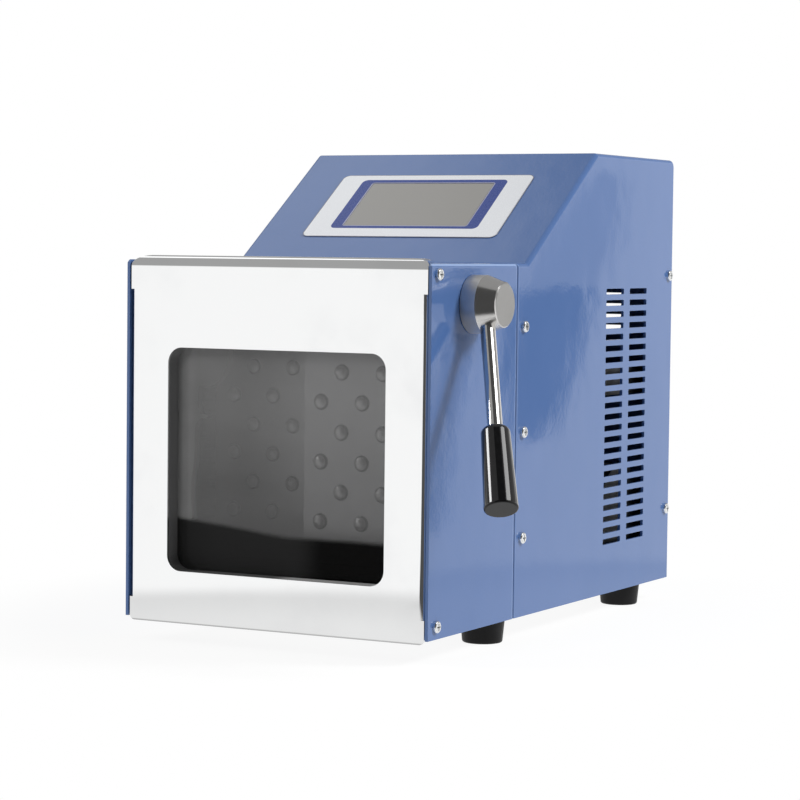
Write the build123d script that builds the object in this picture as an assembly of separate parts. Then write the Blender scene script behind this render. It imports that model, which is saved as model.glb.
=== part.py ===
"""Paddle blender homogenizer for sample bags, as an assembly of separate pieces.

Millimetres. +X is right and +Y is to the rear as seen from the front, +Z is up. The model is drawn
with y = 0 at the front edge of the side plates and z = 0 at the floor, and save() moves every piece
so that the origin lies at the middle of the body's footprint.
"""
import math
import os

from build123d import *

# body
BODY_D = 383.2          # front edge of the side plates to the rear edge
FRONT_TOP = 244.7       # top of the front section above the floor
BODY_TOP = 320.0        # top of the rear section above the floor
FRONT_D = 119.8         # depth of the front cover
SEAM_GAP = 1.0          # dark gap between front cover and rear casing
SLOPE_FOOT_Y = 135.5
SLOPE_TOP_Y = 243.9
SHEET = 2.0             # painted steel sheet
COVER_BEND = 3.0        # outer bend radius, sides to top
SEAM_ROUND = 1.2        # rounded edge along the seam
CREASE_R = 2.0          # bends at the foot and the top of the slope
REAR_BEND = 5.0         # bend from the top down to the rear lip
REAR_LIP = 20.0         # height of the lip under the rear bend

# feet
FOOT_H = 15.0
FOOT_TOP_D = 29.0
FOOT_END_D = 26.0
FOOT_INSET = 17.0       # foot's centre inside the side plate's face
FOOT_FRONT_Y = 109.6
FOOT_REAR_INSET = 51.2  # rear foot's centre before the rear edge
FOOT_ROUND = 1.5
FOOT_BORE_D = 12.0      # recess for the screw head
FOOT_WEB = 6.0          # rubber between screw head and base plate
FOOT_SCREW_D = 5.0
FOOT_SCREW_L = 16.0
FOOT_HEAD_D = 9.5
FOOT_HEAD_H = 3.0

# base, bulkhead and rail
BASE_FRONT_Y = 27.0
BASE_RIM_H = 23.0
BULKHEAD_Y = 106.0
BULKHEAD_FLANGE = 34.0
RAIL_Y = 5.0
RAIL_D = 12.0
RAIL_H = 9.2
RAIL_HOLE_L = 12.0      # depth of the screw holes in the bar's ends
TOP_EDGE_Y = 6.5        # front edge of the top sheet, inside the door's bend

# side fixings
PAN_D = 7.6
PAN_H = 2.4
PAN_ROUND = 1.3
PAN_CROSS_L = 4.4
PAN_CROSS_W = 1.0
PAN_CROSS_DEEP = 1.3
PAN_SHANK_D = 4.0
PAN_SHANK_L = 9.0
SCREW_PLAY = 0.1        # radial play of a screw in its hole
FRONT_SCREW_Y = 8.5
FRONT_SCREW_Z = 237.8
SEAM_SCREW_INSET = 9.5  # behind the casing's front edge
SEAM_SCREW_TOP = 203.9
SEAM_SCREW_MID = 135.5
SEAM_SCREW_LOW = 66.6
REAR_SCREW_INSET = 8.7  # before the rear edge
REAR_SCREW_TOP = 236.2
REAR_SCREW_LOW = 66.2

# vents
VENT_L = 30.4
VENT_H = 4.0
VENT_ROUND = 0.9
VENT_PITCH = 7.91
VENT_ROWS = 23
VENT_COLUMNS = 2
VENT_COLUMN_PITCH = 40.9
VENT_INSET = 85.1       # middle of the slots before the rear edge
VENT_MID_Z = 138.4
BACK_VENT_ROWS = 8
BACK_VENT_Z = 225.0

# console
LABEL_W = 148.6
LABEL_L = 76.0
LABEL_S = 66.6          # middle of the label, measured up the slope from its foot
LABEL_T = 0.5
LABEL_R = 5.0
SCREEN_W = 94.0
SCREEN_L = 51.6
SCREEN_S = 68.3
SCREEN_RISE = 0.2       # glass below the label's surface
SCREEN_PLAY = 0.3
SCREEN_R = 1.0
MODULE_W = 110.0
MODULE_L = 66.0
MODULE_T = 12.0

# door
DOOR_T = 1.5
DOOR_FACE_Y = 0.5
DOOR_SIDE_GAP = 0.9     # between door and side plate, each side
DOOR_LOW_Z = 12.5
DOOR_TOP_Z = 247.5
DOOR_TOP_BEND = 8.0
DOOR_TOP_FLANGE = 7.5
DOOR_SIDE_BEND = 3.3
DOOR_SIDE_DEPTH = 13.5
DOOR_SIDE_LOW_Z = 27.5
DOOR_SIDE_TOP_Z = 225.7
DOOR_CORNER_X = 13.0    # rounded top corners, seen from the front
DOOR_CORNER_Z = 6.0
DOOR_LOW_R = 3.5
WINDOW_W = 157.6
DOOR_MARGIN = 28.3      # door sheet beside the window; with the window it sets the body's width
WINDOW_LOW_Z = 46.0
WINDOW_TOP_Z = 189.0
WINDOW_R = 10.0
REVEAL_D = 10.5         # depth of the dark frame between door sheet and pane
FRAME_RIM = 13.0        # width of that frame beside the window
FRAME_EDGE = 12.0       # and below and above it
PANE_T = 6.0
PANE_LAP = 6.0          # how far the pane reaches past the opening
PANE_PLAY = 0.2
RETAINER_T = 1.5
RETAINER_R = 6.0
RETAINER_SCREW_D = 3.0
RETAINER_HEAD_D = 5.0
RETAINER_SCREW_L = 9.0
HINGE_Y = 10.2
HINGE_Z = 22.9
HINGE_D = 6.0
HINGE_PLAY = 0.05
HINGE_EYE_D = 16.0
HINGE_T = 4.0
HINGE_BOSS_D = 9.0
HINGE_FOOT_W = 11.5
HINGE_FOOT_T = 2.0
HINGE_FOOT_TOP = 45.0
HINGE_END_GAP = 0.4
HINGE_INSET = 4.2       # bracket plate inside the side plate

# bag clamp
CLAMP_SIDE = 11.2       # clamp bars past the window, each side
CLAMP_LOW_Z = 202.5
CLAMP_H = 10.0
CLAMP_BAR_D = 11.5
CLAMP_RUBBER_T = 3.4
CLAMP_GAP = 0.5
CLAMP_SEAT_D = 10.0
CLAMP_RUBBER_INSET = 1.0

# chamber
LINER_SIDE = 15.7       # liner's outside past the window, each side
LINER_T = 1.5
LINER_FRONT_Y = 21.0
LINER_LOW_Z = 41.5
LINER_TOP_Z = 201.5
TRAY_PLAY = 1.0
TRAY_H = 6.0
TRAY_T = 1.2
TRAY_R = 5.0

# paddles
PADDLE_MID_Y = 53.8     # face of both paddles at mid stroke
PADDLE_PHASE = 18.8     # how far the right paddle stands forward of mid stroke, and the left one back
PADDLE_SPLIT = 4.0      # gap between the two paddles
PADDLE_SIDE_GAP = 5.0   # paddle to the liner's wall
PADDLE_T = 8.0
PADDLE_LOW_Z = 66.0
PADDLE_H = 130.0
PADDLE_EDGE_R = 2.5
STUD_D = 10.5
STUD_H = 3.5
STUD_FIRST_X = 12.0     # first column from the paddle's inner edge
STUD_COLUMNS = 5
STUD_FIRST_Z = 14.0     # lowest row above the paddle's lower edge
STUD_PITCH_Z = 19.0
STUD_ROWS = 6

# push rods and crossheads
ROD_D = 12.0
ROD_PLAY = 0.05
ROD_LOW_Z = 98.0
ROD_TOP_Z = 166.0
ROD_FREE = 99.0         # from the paddle's back to the crosshead
BUSH_D = 20.0
BUSH_FLANGE_D = 28.0
BUSH_FLANGE_T = 3.0
BUSH_L = 18.0
CROSS_W = 16.0
CROSS_D = 14.0
CROSS_OVER = 8.0        # crosshead beyond the rods, above and below
LUG_L = 24.0
LUG_H = 16.0
WRIST_D = 8.0
WRIST_OVER = 2.0        # pin beyond the lug, on the side away from the connecting rod

# crank drive
CRANK_Z = 132.0
CRANK_THROW = 19.5
CRANK_SHAFT_D = 15.0
CRANK_DISC_D = 56.0
CRANK_DISC_T = 8.0
CRANK_PIN_D = 10.0
CRANK_PLAY = 0.05
LINK_L = 60.0
LINK_T = 7.0
LINK_EYE_D = 18.0
LINK_BAR_H = 9.0
LINK_GAP = 0.6          # sideways, and at the opened wrist pivot
STAND_X = 24.0
STAND_T = 12.0
STAND_W = 36.0
STAND_OVER = 24.0
STAND_FOOT_W = 60.0
STAND_FOOT_T = 8.0
STAND_SHAFT_GAP = 2.0   # around the shaft where it leaves the stand
BEARING_D = 32.0
BEARING_T = 9.0
PULLEY_W = 18.0
PULLEY_RIM_T = 2.0
PULLEY_RIM_H = 3.0
BIG_PULLEY_D = 72.0
SMALL_PULLEY_D = 24.0
BELT_T = 2.5
BELT_W = 12.0
BELT_PLAY = 0.3

# motor
MOTOR_Y = 315.0
MOTOR_Z = 64.0
MOTOR_D = 76.0
MOTOR_L = 78.0
MOTOR_X = 22.0
MOTOR_SHAFT_D = 10.0
MOTOR_BORE_L = 40.0
MOTOR_BOSS_D = 40.0
MOTOR_CAN_D = 72.0
MOTOR_CAP_L = 14.0
MOTOR_BRACKET_T = 4.0
MOTOR_BRACKET_W = 82.0
MOTOR_BRACKET_H = 92.0
MOTOR_BRACKET_FOOT = 8.0

# lever, latch shaft and hooks
LEVER_Y = 54.8
LEVER_Z = 219.3
LEVER_SHAFT_D = 14.0
LEVER_PLAY = 0.05
LEVER_BUSH_D = 20.0
LEVER_BUSH_FLANGE_D = 28.0
LEVER_BUSH_FLANGE_T = 4.0
HUB_GAP = 0.4
HUB_D = 36.6
HUB_STRAIGHT = 10.1
HUB_END_D = 27.9
HUB_L = 22.6
HUB_CHAMFER = 0.8
HUB_SHAFT_L = 16.0
LEVER_AXIS_X = 9.5      # where the rod's line meets the hub's axis, outside the side plate
LEVER_OUT = 18.0        # degrees outward
LEVER_FORWARD = 29.0    # degrees forward of straight down
LEVER_ROD_D = 9.5
LEVER_ROD_START = 12.0
LEVER_ROD_END = 139.0
GRIP_START = 88.5
GRIP_END = 144.0
GRIP_TOP_D = 17.9
GRIP_END_D = 21.1
GRIP_SHOULDER = 4.0
GRIP_END_R = 1.2
HOOK_R = 40.0           # shaft axis to striker pin
HOOK_T = 4.0
HOOK_UP = 5.0           # degrees above level with the latch open
LEVER_TRAVEL = 45.0     # degrees from open to locked
HOOK_ARM_H = 10.0
HOOK_LIP = 4.0
HOOK_LIP_DROP = 7.0     # of the outer lip, below the pin
HOOK_PLAY = 0.8
COLLAR_D = 26.0
STRIKER_D = 8.0
STRIKER_PLATE_T = 2.5
STRIKER_PLATE_H = 15.0
STRIKER_FOOT_W = 8.0
STRIKER_SIDE_GAP = 1.0  # from the liner's wall to the striker plate

# electrics
SUPPLY_GAP = 8.0        # supply to the cover
SUPPLY_W = 52.0
SUPPLY_Y = 286.0
SUPPLY_Z = 152.0
SUPPLY_H = 19.0
BOARD_GAP = 5.0         # from the cover to the board's bracket
BOARD_SHEET = 1.5
BOARD_Y = 238.0
BOARD_D = 85.0
BOARD_TOP = 190.0
BOARD_FOOT = 15.0
BOARD_POST = 5.5
BOARD_POST_D = 6.0
BOARD_T = 1.6
BOARD_LOW = 55.0
BOARD_CHIPS = 3
RELAY_T = 12.0
CAPACITOR_D = 12.0
CAPACITOR_L = 18.0
INLET_X = -60.0
INLET_Z = 66.0
INLET_W = 30.0
INLET_H = 48.0
INLET_FLANGE = 2.0
INLET_DEEP = 24.0
INLET_RIM = 2.0
SOCKET_W = 24.0
SOCKET_H = 16.4
SOCKET_DEEP = 17.0
SOCKET_DROP = 9.5
BLADE_T = 2.0
BLADE_H = 4.0
BLADE_PITCH = 7.0
BLADE_BACK = 4.0        # blade tips behind the inlet's face
DRAWER_W = 22.0
DRAWER_H = 12.0
DRAWER_DEEP = 16.0
DRAWER_RISE = 13.5
SWITCH_X = -18.0
SWITCH_Z = 66.0
SWITCH_W = 19.0
SWITCH_H = 27.0
SWITCH_DEEP = 18.0
SWITCH_RIM = 1.0
ROCKER_W = 13.0
ROCKER_H = 17.2
ROCKER_ROOT_H = 14.0
ROCKER_ROOT = 4.0       # behind the pivot
ROCKER_END = 7.6        # from the pivot to the raised ends
ROCKER_VALLEY = 6.2
ROCKER_ROOM_H = 20.6
ROCKER_PLAY = 0.5
ROCKER_PIN_D = 4.0
ROCKER_PIVOT = 4.5      # pivot axis inside the rear panel's outer face
ROCKER_TILT = 9.0
PLATE_X = 48.0
PLATE_Z = 80.0
PLATE_W = 76.0
PLATE_H = 46.0
PLATE_T = 0.6

# derived places
DOOR_HALF = WINDOW_W / 2 + DOOR_MARGIN
INNER = DOOR_HALF + DOOR_SIDE_GAP
HALF = INNER + SHEET
CLAMP_W = WINDOW_W + 2 * CLAMP_SIDE
LINER_HALF = WINDOW_W / 2 + LINER_SIDE
FOOT_X = HALF - FOOT_INSET
FOOT_REAR_Y = BODY_D - FOOT_REAR_INSET
CASE_Y = FRONT_D + SEAM_GAP
SEAM_SCREW_Y = CASE_Y + SEAM_SCREW_INSET
REAR_SCREW_Y = BODY_D - REAR_SCREW_INSET
VENT_MID_Y = BODY_D - VENT_INSET
SLOPE = math.atan2(BODY_TOP - FRONT_TOP, SLOPE_TOP_Y - SLOPE_FOOT_Y)
BASE_TOP = FOOT_H + SHEET
PANEL_Y = BODY_D - 2 * SHEET
DOOR_BACK_Y = DOOR_FACE_Y + DOOR_T
PANE_Y = DOOR_BACK_Y + REVEAL_D
RETAINER_Y = PANE_Y + PANE_T + RETAINER_T
PADDLE_W = LINER_HALF - LINER_T - PADDLE_SIDE_GAP - PADDLE_SPLIT / 2
PADDLE_X = (PADDLE_SPLIT + PADDLE_W) / 2
STUD_PITCH_X = (PADDLE_W - STUD_FIRST_X) / STUD_COLUMNS
WRIST_Z = CRANK_Z
LINK_RISE = math.sqrt(CRANK_THROW ** 2 - PADDLE_PHASE ** 2)
LINK_RUN = math.sqrt(LINK_L ** 2 - LINK_RISE ** 2)
WRIST_MID_Y = PADDLE_MID_Y + PADDLE_T + ROD_FREE + CROSS_D + LUG_L - LUG_H / 2
CRANK_Y = WRIST_MID_Y + LINK_RUN
LINK_X = PADDLE_X + CROSS_W / 2 + LINK_GAP
HOOK_LOCKED = math.radians(HOOK_UP - LEVER_TRAVEL)
STRIKER_Y = LEVER_Y - HOOK_R * math.cos(HOOK_LOCKED)
STRIKER_Z = LEVER_Z + HOOK_R * math.sin(HOOK_LOCKED)
STRIKER_X = LINER_HALF + STRIKER_SIDE_GAP
HOOK_X = STRIKER_X + STRIKER_PLATE_T + LINK_GAP
CONSOLE = Plane(
    origin=(0, SLOPE_FOOT_Y, FRONT_TOP),
    x_dir=(1, 0, 0),
    z_dir=(0, -math.sin(SLOPE), math.cos(SLOPE)),
)


def box(x0, x1, y0, y1, z0, z1):
    """A block between two corners."""
    return Pos((x0 + x1) / 2, (y0 + y1) / 2, (z0 + z1) / 2) * Box(x1 - x0, y1 - y0, z1 - z0)


def slab(x, z, w, h, y0, y1):
    """A block centred on x and z, from y0 to y1."""
    return Pos(x, (y0 + y1) / 2, z) * Box(w, y1 - y0, h)


def rod_x(d, x0, x1, y, z):
    """A round bar along X."""
    return Pos((x0 + x1) / 2, y, z) * Rot(0, 90, 0) * Cylinder(d / 2, abs(x1 - x0))


def rod_y(d, y0, y1, x, z):
    """A round bar along Y."""
    return Pos(x, (y0 + y1) / 2, z) * Rot(90, 0, 0) * Cylinder(d / 2, abs(y1 - y0))


def rod_z(d, z0, z1, x, y):
    """A round bar along Z."""
    return Pos(x, y, (z0 + z1) / 2) * Cylinder(d / 2, abs(z1 - z0))


def window_block(half, low, top, radius, y0, y1):
    """A block with rounded corners in the XZ plane, from y0 to y1."""
    block = box(-half, half, y0, y1, low, top)
    return fillet(block.edges().filter_by(Axis.Y), radius)


def both_sides(shape):
    """A piece and its mirror image across the machine's middle plane."""
    return [shape, mirror(shape, about=Plane.YZ)]


def save(name, pieces):
    """Write one node, with the origin moved to the middle of the footprint."""
    solids = pieces if isinstance(pieces, list) else [pieces]
    moved = [Pos(0, -BODY_D / 2, 0) * s for piece in solids for s in piece.solids()]
    export_step(moved[0] if len(moved) == 1 else Compound(children=moved), "parts/" + name + ".step")


def side_screws():
    """The y and z of the pan-head screws that hold the casing to the bulkhead and the rear panel."""
    seam = [(SEAM_SCREW_Y, z) for z in (SEAM_SCREW_TOP, SEAM_SCREW_MID, SEAM_SCREW_LOW)]
    return seam + [(REAR_SCREW_Y, z) for z in (REAR_SCREW_TOP, REAR_SCREW_LOW)]


def side_holes(y, z, d):
    """A drill through both side walls."""
    return rod_x(d + 2 * SCREW_PLAY, -HALF - 1, HALF + 1, y, z)


# covers
def front_cover():
    """Both sides and the top of the front section, bent from one sheet."""
    outer = box(-HALF, HALF, 0, FRONT_D, FOOT_H, FRONT_TOP)
    outer = fillet(outer.edges().filter_by(Axis.Y).group_by(Axis.Z)[-1], COVER_BEND)
    rear = outer.faces().sort_by(Axis.Y)[-1].edges().sort_by(Axis.Z)[1:]
    outer = fillet(rear, SEAM_ROUND)
    inner = box(-INNER, INNER, -1, FRONT_D + 1, FOOT_H - 1, FRONT_TOP - SHEET)
    inner = fillet(inner.edges().filter_by(Axis.Y).group_by(Axis.Z)[-1], COVER_BEND - SHEET)
    mouth = box(-INNER, INNER, -1, TOP_EDGE_Y, FRONT_TOP - SHEET - COVER_BEND, FRONT_TOP + 1)
    cover = outer - inner - mouth
    cover -= side_holes(FRONT_SCREW_Y, FRONT_SCREW_Z, PAN_SHANK_D)
    cover -= side_holes(HINGE_Y, HINGE_Z, HINGE_D)
    return cover - rod_x(LEVER_BUSH_D, -HALF - 1, HALF + 1, LEVER_Y, LEVER_Z)


def casing_profile(inset):
    """Side view of the rear section, moved inwards by the sheet's thickness."""
    shift = inset * math.tan(SLOPE / 2)
    points = [
        (CASE_Y, FOOT_H),
        (CASE_Y, FRONT_TOP - inset),
        (SLOPE_FOOT_Y + shift, FRONT_TOP - inset),
        (SLOPE_TOP_Y + shift, BODY_TOP - inset),
        (BODY_D - inset, BODY_TOP - inset),
        (BODY_D - inset, FOOT_H),
    ]
    wire = Polyline(*points, close=True)
    face = make_face(wire)
    corners = {2: CREASE_R, 3: CREASE_R, 4: REAR_BEND - inset}
    for index, radius in corners.items():
        y, z = points[index]
        spot = face.vertices().sort_by_distance((y, z, 0))[0]
        face = fillet(spot, radius)
    return Plane.YZ * face


def rear_casing():
    """Sides, slope and top of the rear section, bent and welded from sheet."""
    outer = extrude(casing_profile(0), HALF, both=True)
    flanks = outer.edges().filter_by_position(Axis.Z, FRONT_TOP - COVER_BEND, BODY_TOP + COVER_BEND)
    outer = fillet(flanks - flanks.filter_by(Axis.X), COVER_BEND)
    front = outer.faces().sort_by(Axis.Y)[0].edges().sort_by(Axis.Z)[1:]
    outer = fillet(front, SEAM_ROUND)
    inner = extrude(casing_profile(SHEET), INNER, both=True)
    inner += box(-INNER, INNER, CASE_Y - 1, SLOPE_FOOT_Y, FOOT_H - 1, FRONT_TOP - SHEET)
    inner += box(-INNER, INNER, BODY_D - 2 * SHEET, BODY_D + 1, FOOT_H - 1, BODY_TOP - REAR_LIP)
    casing = outer - inner - vents(VENT_ROWS, VENT_MID_Y, VENT_MID_Z)
    for y, z in side_screws():
        casing -= side_holes(y, z, PAN_SHANK_D)
    return casing - screen_block(SCREEN_PLAY, -SHEET - 1, 1)


def vents(rows, y, z):
    """Two columns of slots through both sides."""
    slots = Sketch() + [
        place * RectangleRounded(VENT_L, VENT_H, VENT_ROUND)
        for place in GridLocations(VENT_COLUMN_PITCH, VENT_PITCH, VENT_COLUMNS, rows)
    ]
    return extrude(Plane.YZ * Pos(y, z) * slots, HALF + 1, both=True)


def screen_block(grow, low, high):
    """A block standing on the slope with the touch screen's outline."""
    outline = RectangleRounded(SCREEN_W + 2 * grow, SCREEN_L + 2 * grow, SCREEN_R)
    return extrude(CONSOLE * Pos(0, SCREEN_S, low) * outline, high - low)


def console_label():
    """Printed sheet on the slope, with a window for the touch screen."""
    sheet = extrude(CONSOLE * Pos(0, LABEL_S, 0) * RectangleRounded(LABEL_W, LABEL_L, LABEL_R), LABEL_T)
    return sheet - screen_block(SCREEN_PLAY, -1, 2)


def touch_screen():
    """Glass of the touch screen, in the slope's opening."""
    return screen_block(0, -SHEET, LABEL_T - SCREEN_RISE)


def display_module():
    """Housing of the display, against the inside of the slope."""
    middle = CONSOLE * Pos(0, SCREEN_S, -SHEET - MODULE_T / 2)
    return middle * Box(MODULE_W, MODULE_L, MODULE_T)


def base_plate():
    """Floor tray with upturned sides."""
    tray = box(-INNER, INNER, BASE_FRONT_Y, PANEL_Y, FOOT_H, BASE_TOP + BASE_RIM_H)
    tray -= box(-INNER + SHEET, INNER - SHEET, BASE_FRONT_Y - 1, PANEL_Y + 1, BASE_TOP, BODY_TOP)
    for x in (-FOOT_X, FOOT_X):
        for y in (FOOT_FRONT_Y, FOOT_REAR_Y):
            tray -= rod_z(FOOT_SCREW_D + 2 * SCREW_PLAY, 0, BODY_TOP, x, y)
    return tray


def chamber_bulkhead():
    """Wall behind the chamber, with flanges that carry the seam screws."""
    wall = box(-INNER, INNER, BULKHEAD_Y, BULKHEAD_Y + BULKHEAD_FLANGE, BASE_TOP, FRONT_TOP - SHEET)
    rim = wall.edges().filter_by(Axis.Y).group_by(Axis.Z)[-1]
    wall = fillet(rim, COVER_BEND - SHEET)
    inside = INNER - 2 * SHEET
    hollow = box(-inside, inside, BULKHEAD_Y + SHEET, BODY_D, 0, FRONT_TOP - 2 * SHEET)
    foot = box(-INNER, INNER, BULKHEAD_Y, BODY_D, 0, BASE_TOP + BASE_RIM_H)
    keep = box(-inside, inside, BULKHEAD_Y, BULKHEAD_Y + SHEET, BASE_TOP, BASE_TOP + BASE_RIM_H)
    wall = wall - hollow - (foot - keep)
    for x in (-PADDLE_X, PADDLE_X):
        for z in (ROD_LOW_Z, ROD_TOP_Z):
            wall -= rod_y(BUSH_D, 0, BODY_D, x, z)
    for y, z in side_screws():
        wall -= side_holes(y, z, PAN_SHANK_D)
    for x, y in foot_places():
        wall -= rod_z(FOOT_HEAD_D + 2 * FOOT_HEAD_H, 0, FOOT_H + FOOT_SCREW_L, x, y)
    return wall


def top_rail():
    """Cross bar under the top sheet, which the two front screws hold."""
    top = FRONT_TOP - SHEET
    rail = box(-INNER + 1, INNER - 1, RAIL_Y, RAIL_Y + RAIL_D, top - RAIL_H, top)
    ends = box(-INNER, INNER, RAIL_Y, RAIL_Y + RAIL_D, top - RAIL_H, top - COVER_BEND)
    drill = rod_x(PAN_SHANK_D + 2 * SCREW_PLAY, INNER - RAIL_HOLE_L, HALF, FRONT_SCREW_Y, FRONT_SCREW_Z)
    for hole in both_sides(drill):
        ends -= hole
        rail -= hole
    return rail + ends


def rear_panel():
    """Rear wall between the casing's sides, with flanges for the rear screws."""
    top = BODY_TOP - SHEET
    depth = 2 * (PANEL_Y + SHEET - REAR_SCREW_Y)
    tray = box(-INNER, INNER, PANEL_Y + SHEET - depth, PANEL_Y + SHEET, FOOT_H, top - COVER_BEND)
    hollow = box(-INNER + SHEET, INNER - SHEET, 0, PANEL_Y, 0, BODY_TOP)
    tray -= hollow
    rim = box(-HALF, HALF, 0, PANEL_Y, 0, BASE_TOP + BASE_RIM_H)
    tray -= rim
    for y, z in side_screws():
        tray -= side_holes(y, z, PAN_SHANK_D)
    tray -= rear_slots()
    tray -= inlet_body(SCREW_PLAY)
    tray -= switch_body(SCREW_PLAY)
    return tray


def rear_slots():
    """Air slots in the rear panel."""
    slots = Sketch() + [
        place * RectangleRounded(VENT_L, VENT_H, VENT_ROUND)
        for place in GridLocations(VENT_COLUMN_PITCH, VENT_PITCH, 2 * VENT_COLUMNS, BACK_VENT_ROWS)
    ]
    back = Plane(origin=(0, BODY_D, BACK_VENT_Z), x_dir=(1, 0, 0), z_dir=(0, 1, 0))
    return extrude(back * slots, -3 * SHEET)


# fixings
def pan_head(y, z, shank_d, shank_l):
    """A pan-head screw with a cross recess, driven in from the right side."""
    head = rod_x(PAN_D, HALF, HALF + PAN_H, y, z)
    head = fillet(head.faces().sort_by(Axis.X)[-1].edges(), PAN_ROUND)
    low = HALF + PAN_H - PAN_CROSS_DEEP
    for a, b in ((PAN_CROSS_L, PAN_CROSS_W), (PAN_CROSS_W, PAN_CROSS_L)):
        head -= box(low, HALF + PAN_H + 1, y - a / 2, y + a / 2, z - b / 2, z + b / 2)
    return head + rod_x(shank_d, HALF - shank_l, HALF, y, z)


def casing_screws():
    """Seam and rear screws on both sides."""
    return [s for y, z in side_screws() for s in both_sides(pan_head(y, z, PAN_SHANK_D, PAN_SHANK_L))]


def front_screws():
    """The upper front screw of each side."""
    return both_sides(pan_head(FRONT_SCREW_Y, FRONT_SCREW_Z, PAN_SHANK_D, PAN_SHANK_L))


def hinge_screws():
    """The lower front screw of each side, whose shoulder is the door's hinge pin."""
    length = SHEET + HINGE_INSET + HINGE_T
    return both_sides(pan_head(HINGE_Y, HINGE_Z, HINGE_D, length))


def foot_places():
    """Centres of the four feet."""
    return [(x, y) for x in (-FOOT_X, FOOT_X) for y in (FOOT_FRONT_Y, FOOT_REAR_Y)]


def feet():
    """Four tapered rubber feet with a recess for the screw."""
    foot = Cone(FOOT_END_D / 2, FOOT_TOP_D / 2, FOOT_H)
    foot = Pos(0, 0, FOOT_H / 2) * foot
    foot = fillet(foot.edges().sort_by(Axis.Z)[0], FOOT_ROUND)
    foot -= rod_z(FOOT_BORE_D, -1, FOOT_H - FOOT_WEB, 0, 0)
    foot -= rod_z(FOOT_SCREW_D + 2 * SCREW_PLAY, -1, FOOT_H + 1, 0, 0)
    return [Pos(x, y, 0) * foot for x, y in foot_places()]


def foot_screws():
    """Screws from below through the feet into the base plate."""
    seat = FOOT_H - FOOT_WEB
    screw = rod_z(FOOT_HEAD_D, seat - FOOT_HEAD_H, seat, 0, 0)
    screw += rod_z(FOOT_SCREW_D, seat, seat + FOOT_SCREW_L, 0, 0)
    screw += Pos(0, 0, BASE_TOP) * extrude(RegularPolygon(FOOT_HEAD_D / 2, 6), FOOT_HEAD_H)
    return [Pos(x, y, 0) * screw for x, y in foot_places()]


# door
def door_outline():
    """Front view of the door sheet, with rounded top corners and small lower radii."""
    straight = DOOR_TOP_Z - DOOR_CORNER_Z
    low = Pos(0, (DOOR_LOW_Z + straight) / 2) * Rectangle(2 * DOOR_HALF, straight - DOOR_LOW_Z)
    low = fillet(low.vertices().group_by(Axis.Y)[0], DOOR_LOW_R)
    inner = DOOR_HALF - DOOR_CORNER_X
    top = Pos(0, DOOR_TOP_Z - DOOR_CORNER_Z) * Rectangle(2 * inner, 2 * DOOR_CORNER_Z)
    corners = [Pos(x, straight) * Ellipse(DOOR_CORNER_X, DOOR_CORNER_Z) for x in (-inner, inner)]
    face = Plane(origin=(0, 0, 0), x_dir=(1, 0, 0), z_dir=(0, -1, 0)) * (low + top + corners)
    return extrude(face, -2 * (DOOR_TOP_BEND + DOOR_TOP_FLANGE))


def door_sheet():
    """Side view of the sheet with its top bend, drawn out to the full width."""
    y0 = DOOR_FACE_Y
    centre_y = y0 + DOOR_TOP_BEND
    centre_z = DOOR_TOP_Z - DOOR_TOP_BEND
    front = box(-DOOR_HALF, DOOR_HALF, y0, y0 + DOOR_T, DOOR_LOW_Z, centre_z)
    flange_end = centre_y + DOOR_TOP_FLANGE
    flange = box(-DOOR_HALF, DOOR_HALF, centre_y, flange_end, DOOR_TOP_Z - DOOR_T, DOOR_TOP_Z)
    bend = rod_x(2 * DOOR_TOP_BEND, -DOOR_HALF, DOOR_HALF, centre_y, centre_z)
    bend -= rod_x(2 * (DOOR_TOP_BEND - DOOR_T), -DOOR_HALF - 1, DOOR_HALF + 1, centre_y, centre_z)
    bend &= box(-DOOR_HALF, DOOR_HALF, y0, centre_y, centre_z, DOOR_TOP_Z)
    return front + bend + flange


def door_flange():
    """The side flange on the right, bent back between two heights."""
    centre_x = DOOR_HALF - DOOR_SIDE_BEND
    centre_y = DOOR_FACE_Y + DOOR_SIDE_BEND
    low, top = DOOR_SIDE_LOW_Z, DOOR_SIDE_TOP_Z
    bend = rod_z(2 * DOOR_SIDE_BEND, low, top, centre_x, centre_y)
    bend -= rod_z(2 * (DOOR_SIDE_BEND - DOOR_T), low - 1, top + 1, centre_x, centre_y)
    bend &= box(centre_x, DOOR_HALF, DOOR_FACE_Y, centre_y, low, top)
    end = DOOR_FACE_Y + DOOR_SIDE_DEPTH
    return bend + box(DOOR_HALF - DOOR_T, DOOR_HALF, centre_y, end, low, top)


def door_panel():
    """Mirror-polished sheet with its top bend, side flanges and window opening."""
    panel = door_sheet() & door_outline()
    bend_x = DOOR_HALF - DOOR_SIDE_BEND
    strip = box(bend_x, HALF, -1, DOOR_BACK_Y + 1, DOOR_SIDE_LOW_Z, DOOR_SIDE_TOP_Z)
    for cut in both_sides(strip):
        panel -= cut
    for flange in both_sides(door_flange()):
        panel += flange
    return panel - window_block(WINDOW_W / 2, WINDOW_LOW_Z, WINDOW_TOP_Z, WINDOW_R, -1, DOOR_BACK_Y + 1)


def door_frame():
    """Dark frame between door sheet and pane, seen as the window's reveal."""
    half = WINDOW_W / 2
    low, top = WINDOW_LOW_Z - FRAME_EDGE, WINDOW_TOP_Z + FRAME_EDGE
    frame = window_block(half + FRAME_RIM, low, top, RETAINER_R, DOOR_BACK_Y, PANE_Y)
    frame -= window_block(half, WINDOW_LOW_Z, WINDOW_TOP_Z, WINDOW_R, 0, PANE_Y + 1)
    for x, z in retainer_places():
        frame -= rod_y(RETAINER_SCREW_D, RETAINER_Y - RETAINER_SCREW_L, PANE_Y + 1, x, z)
    return frame


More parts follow.
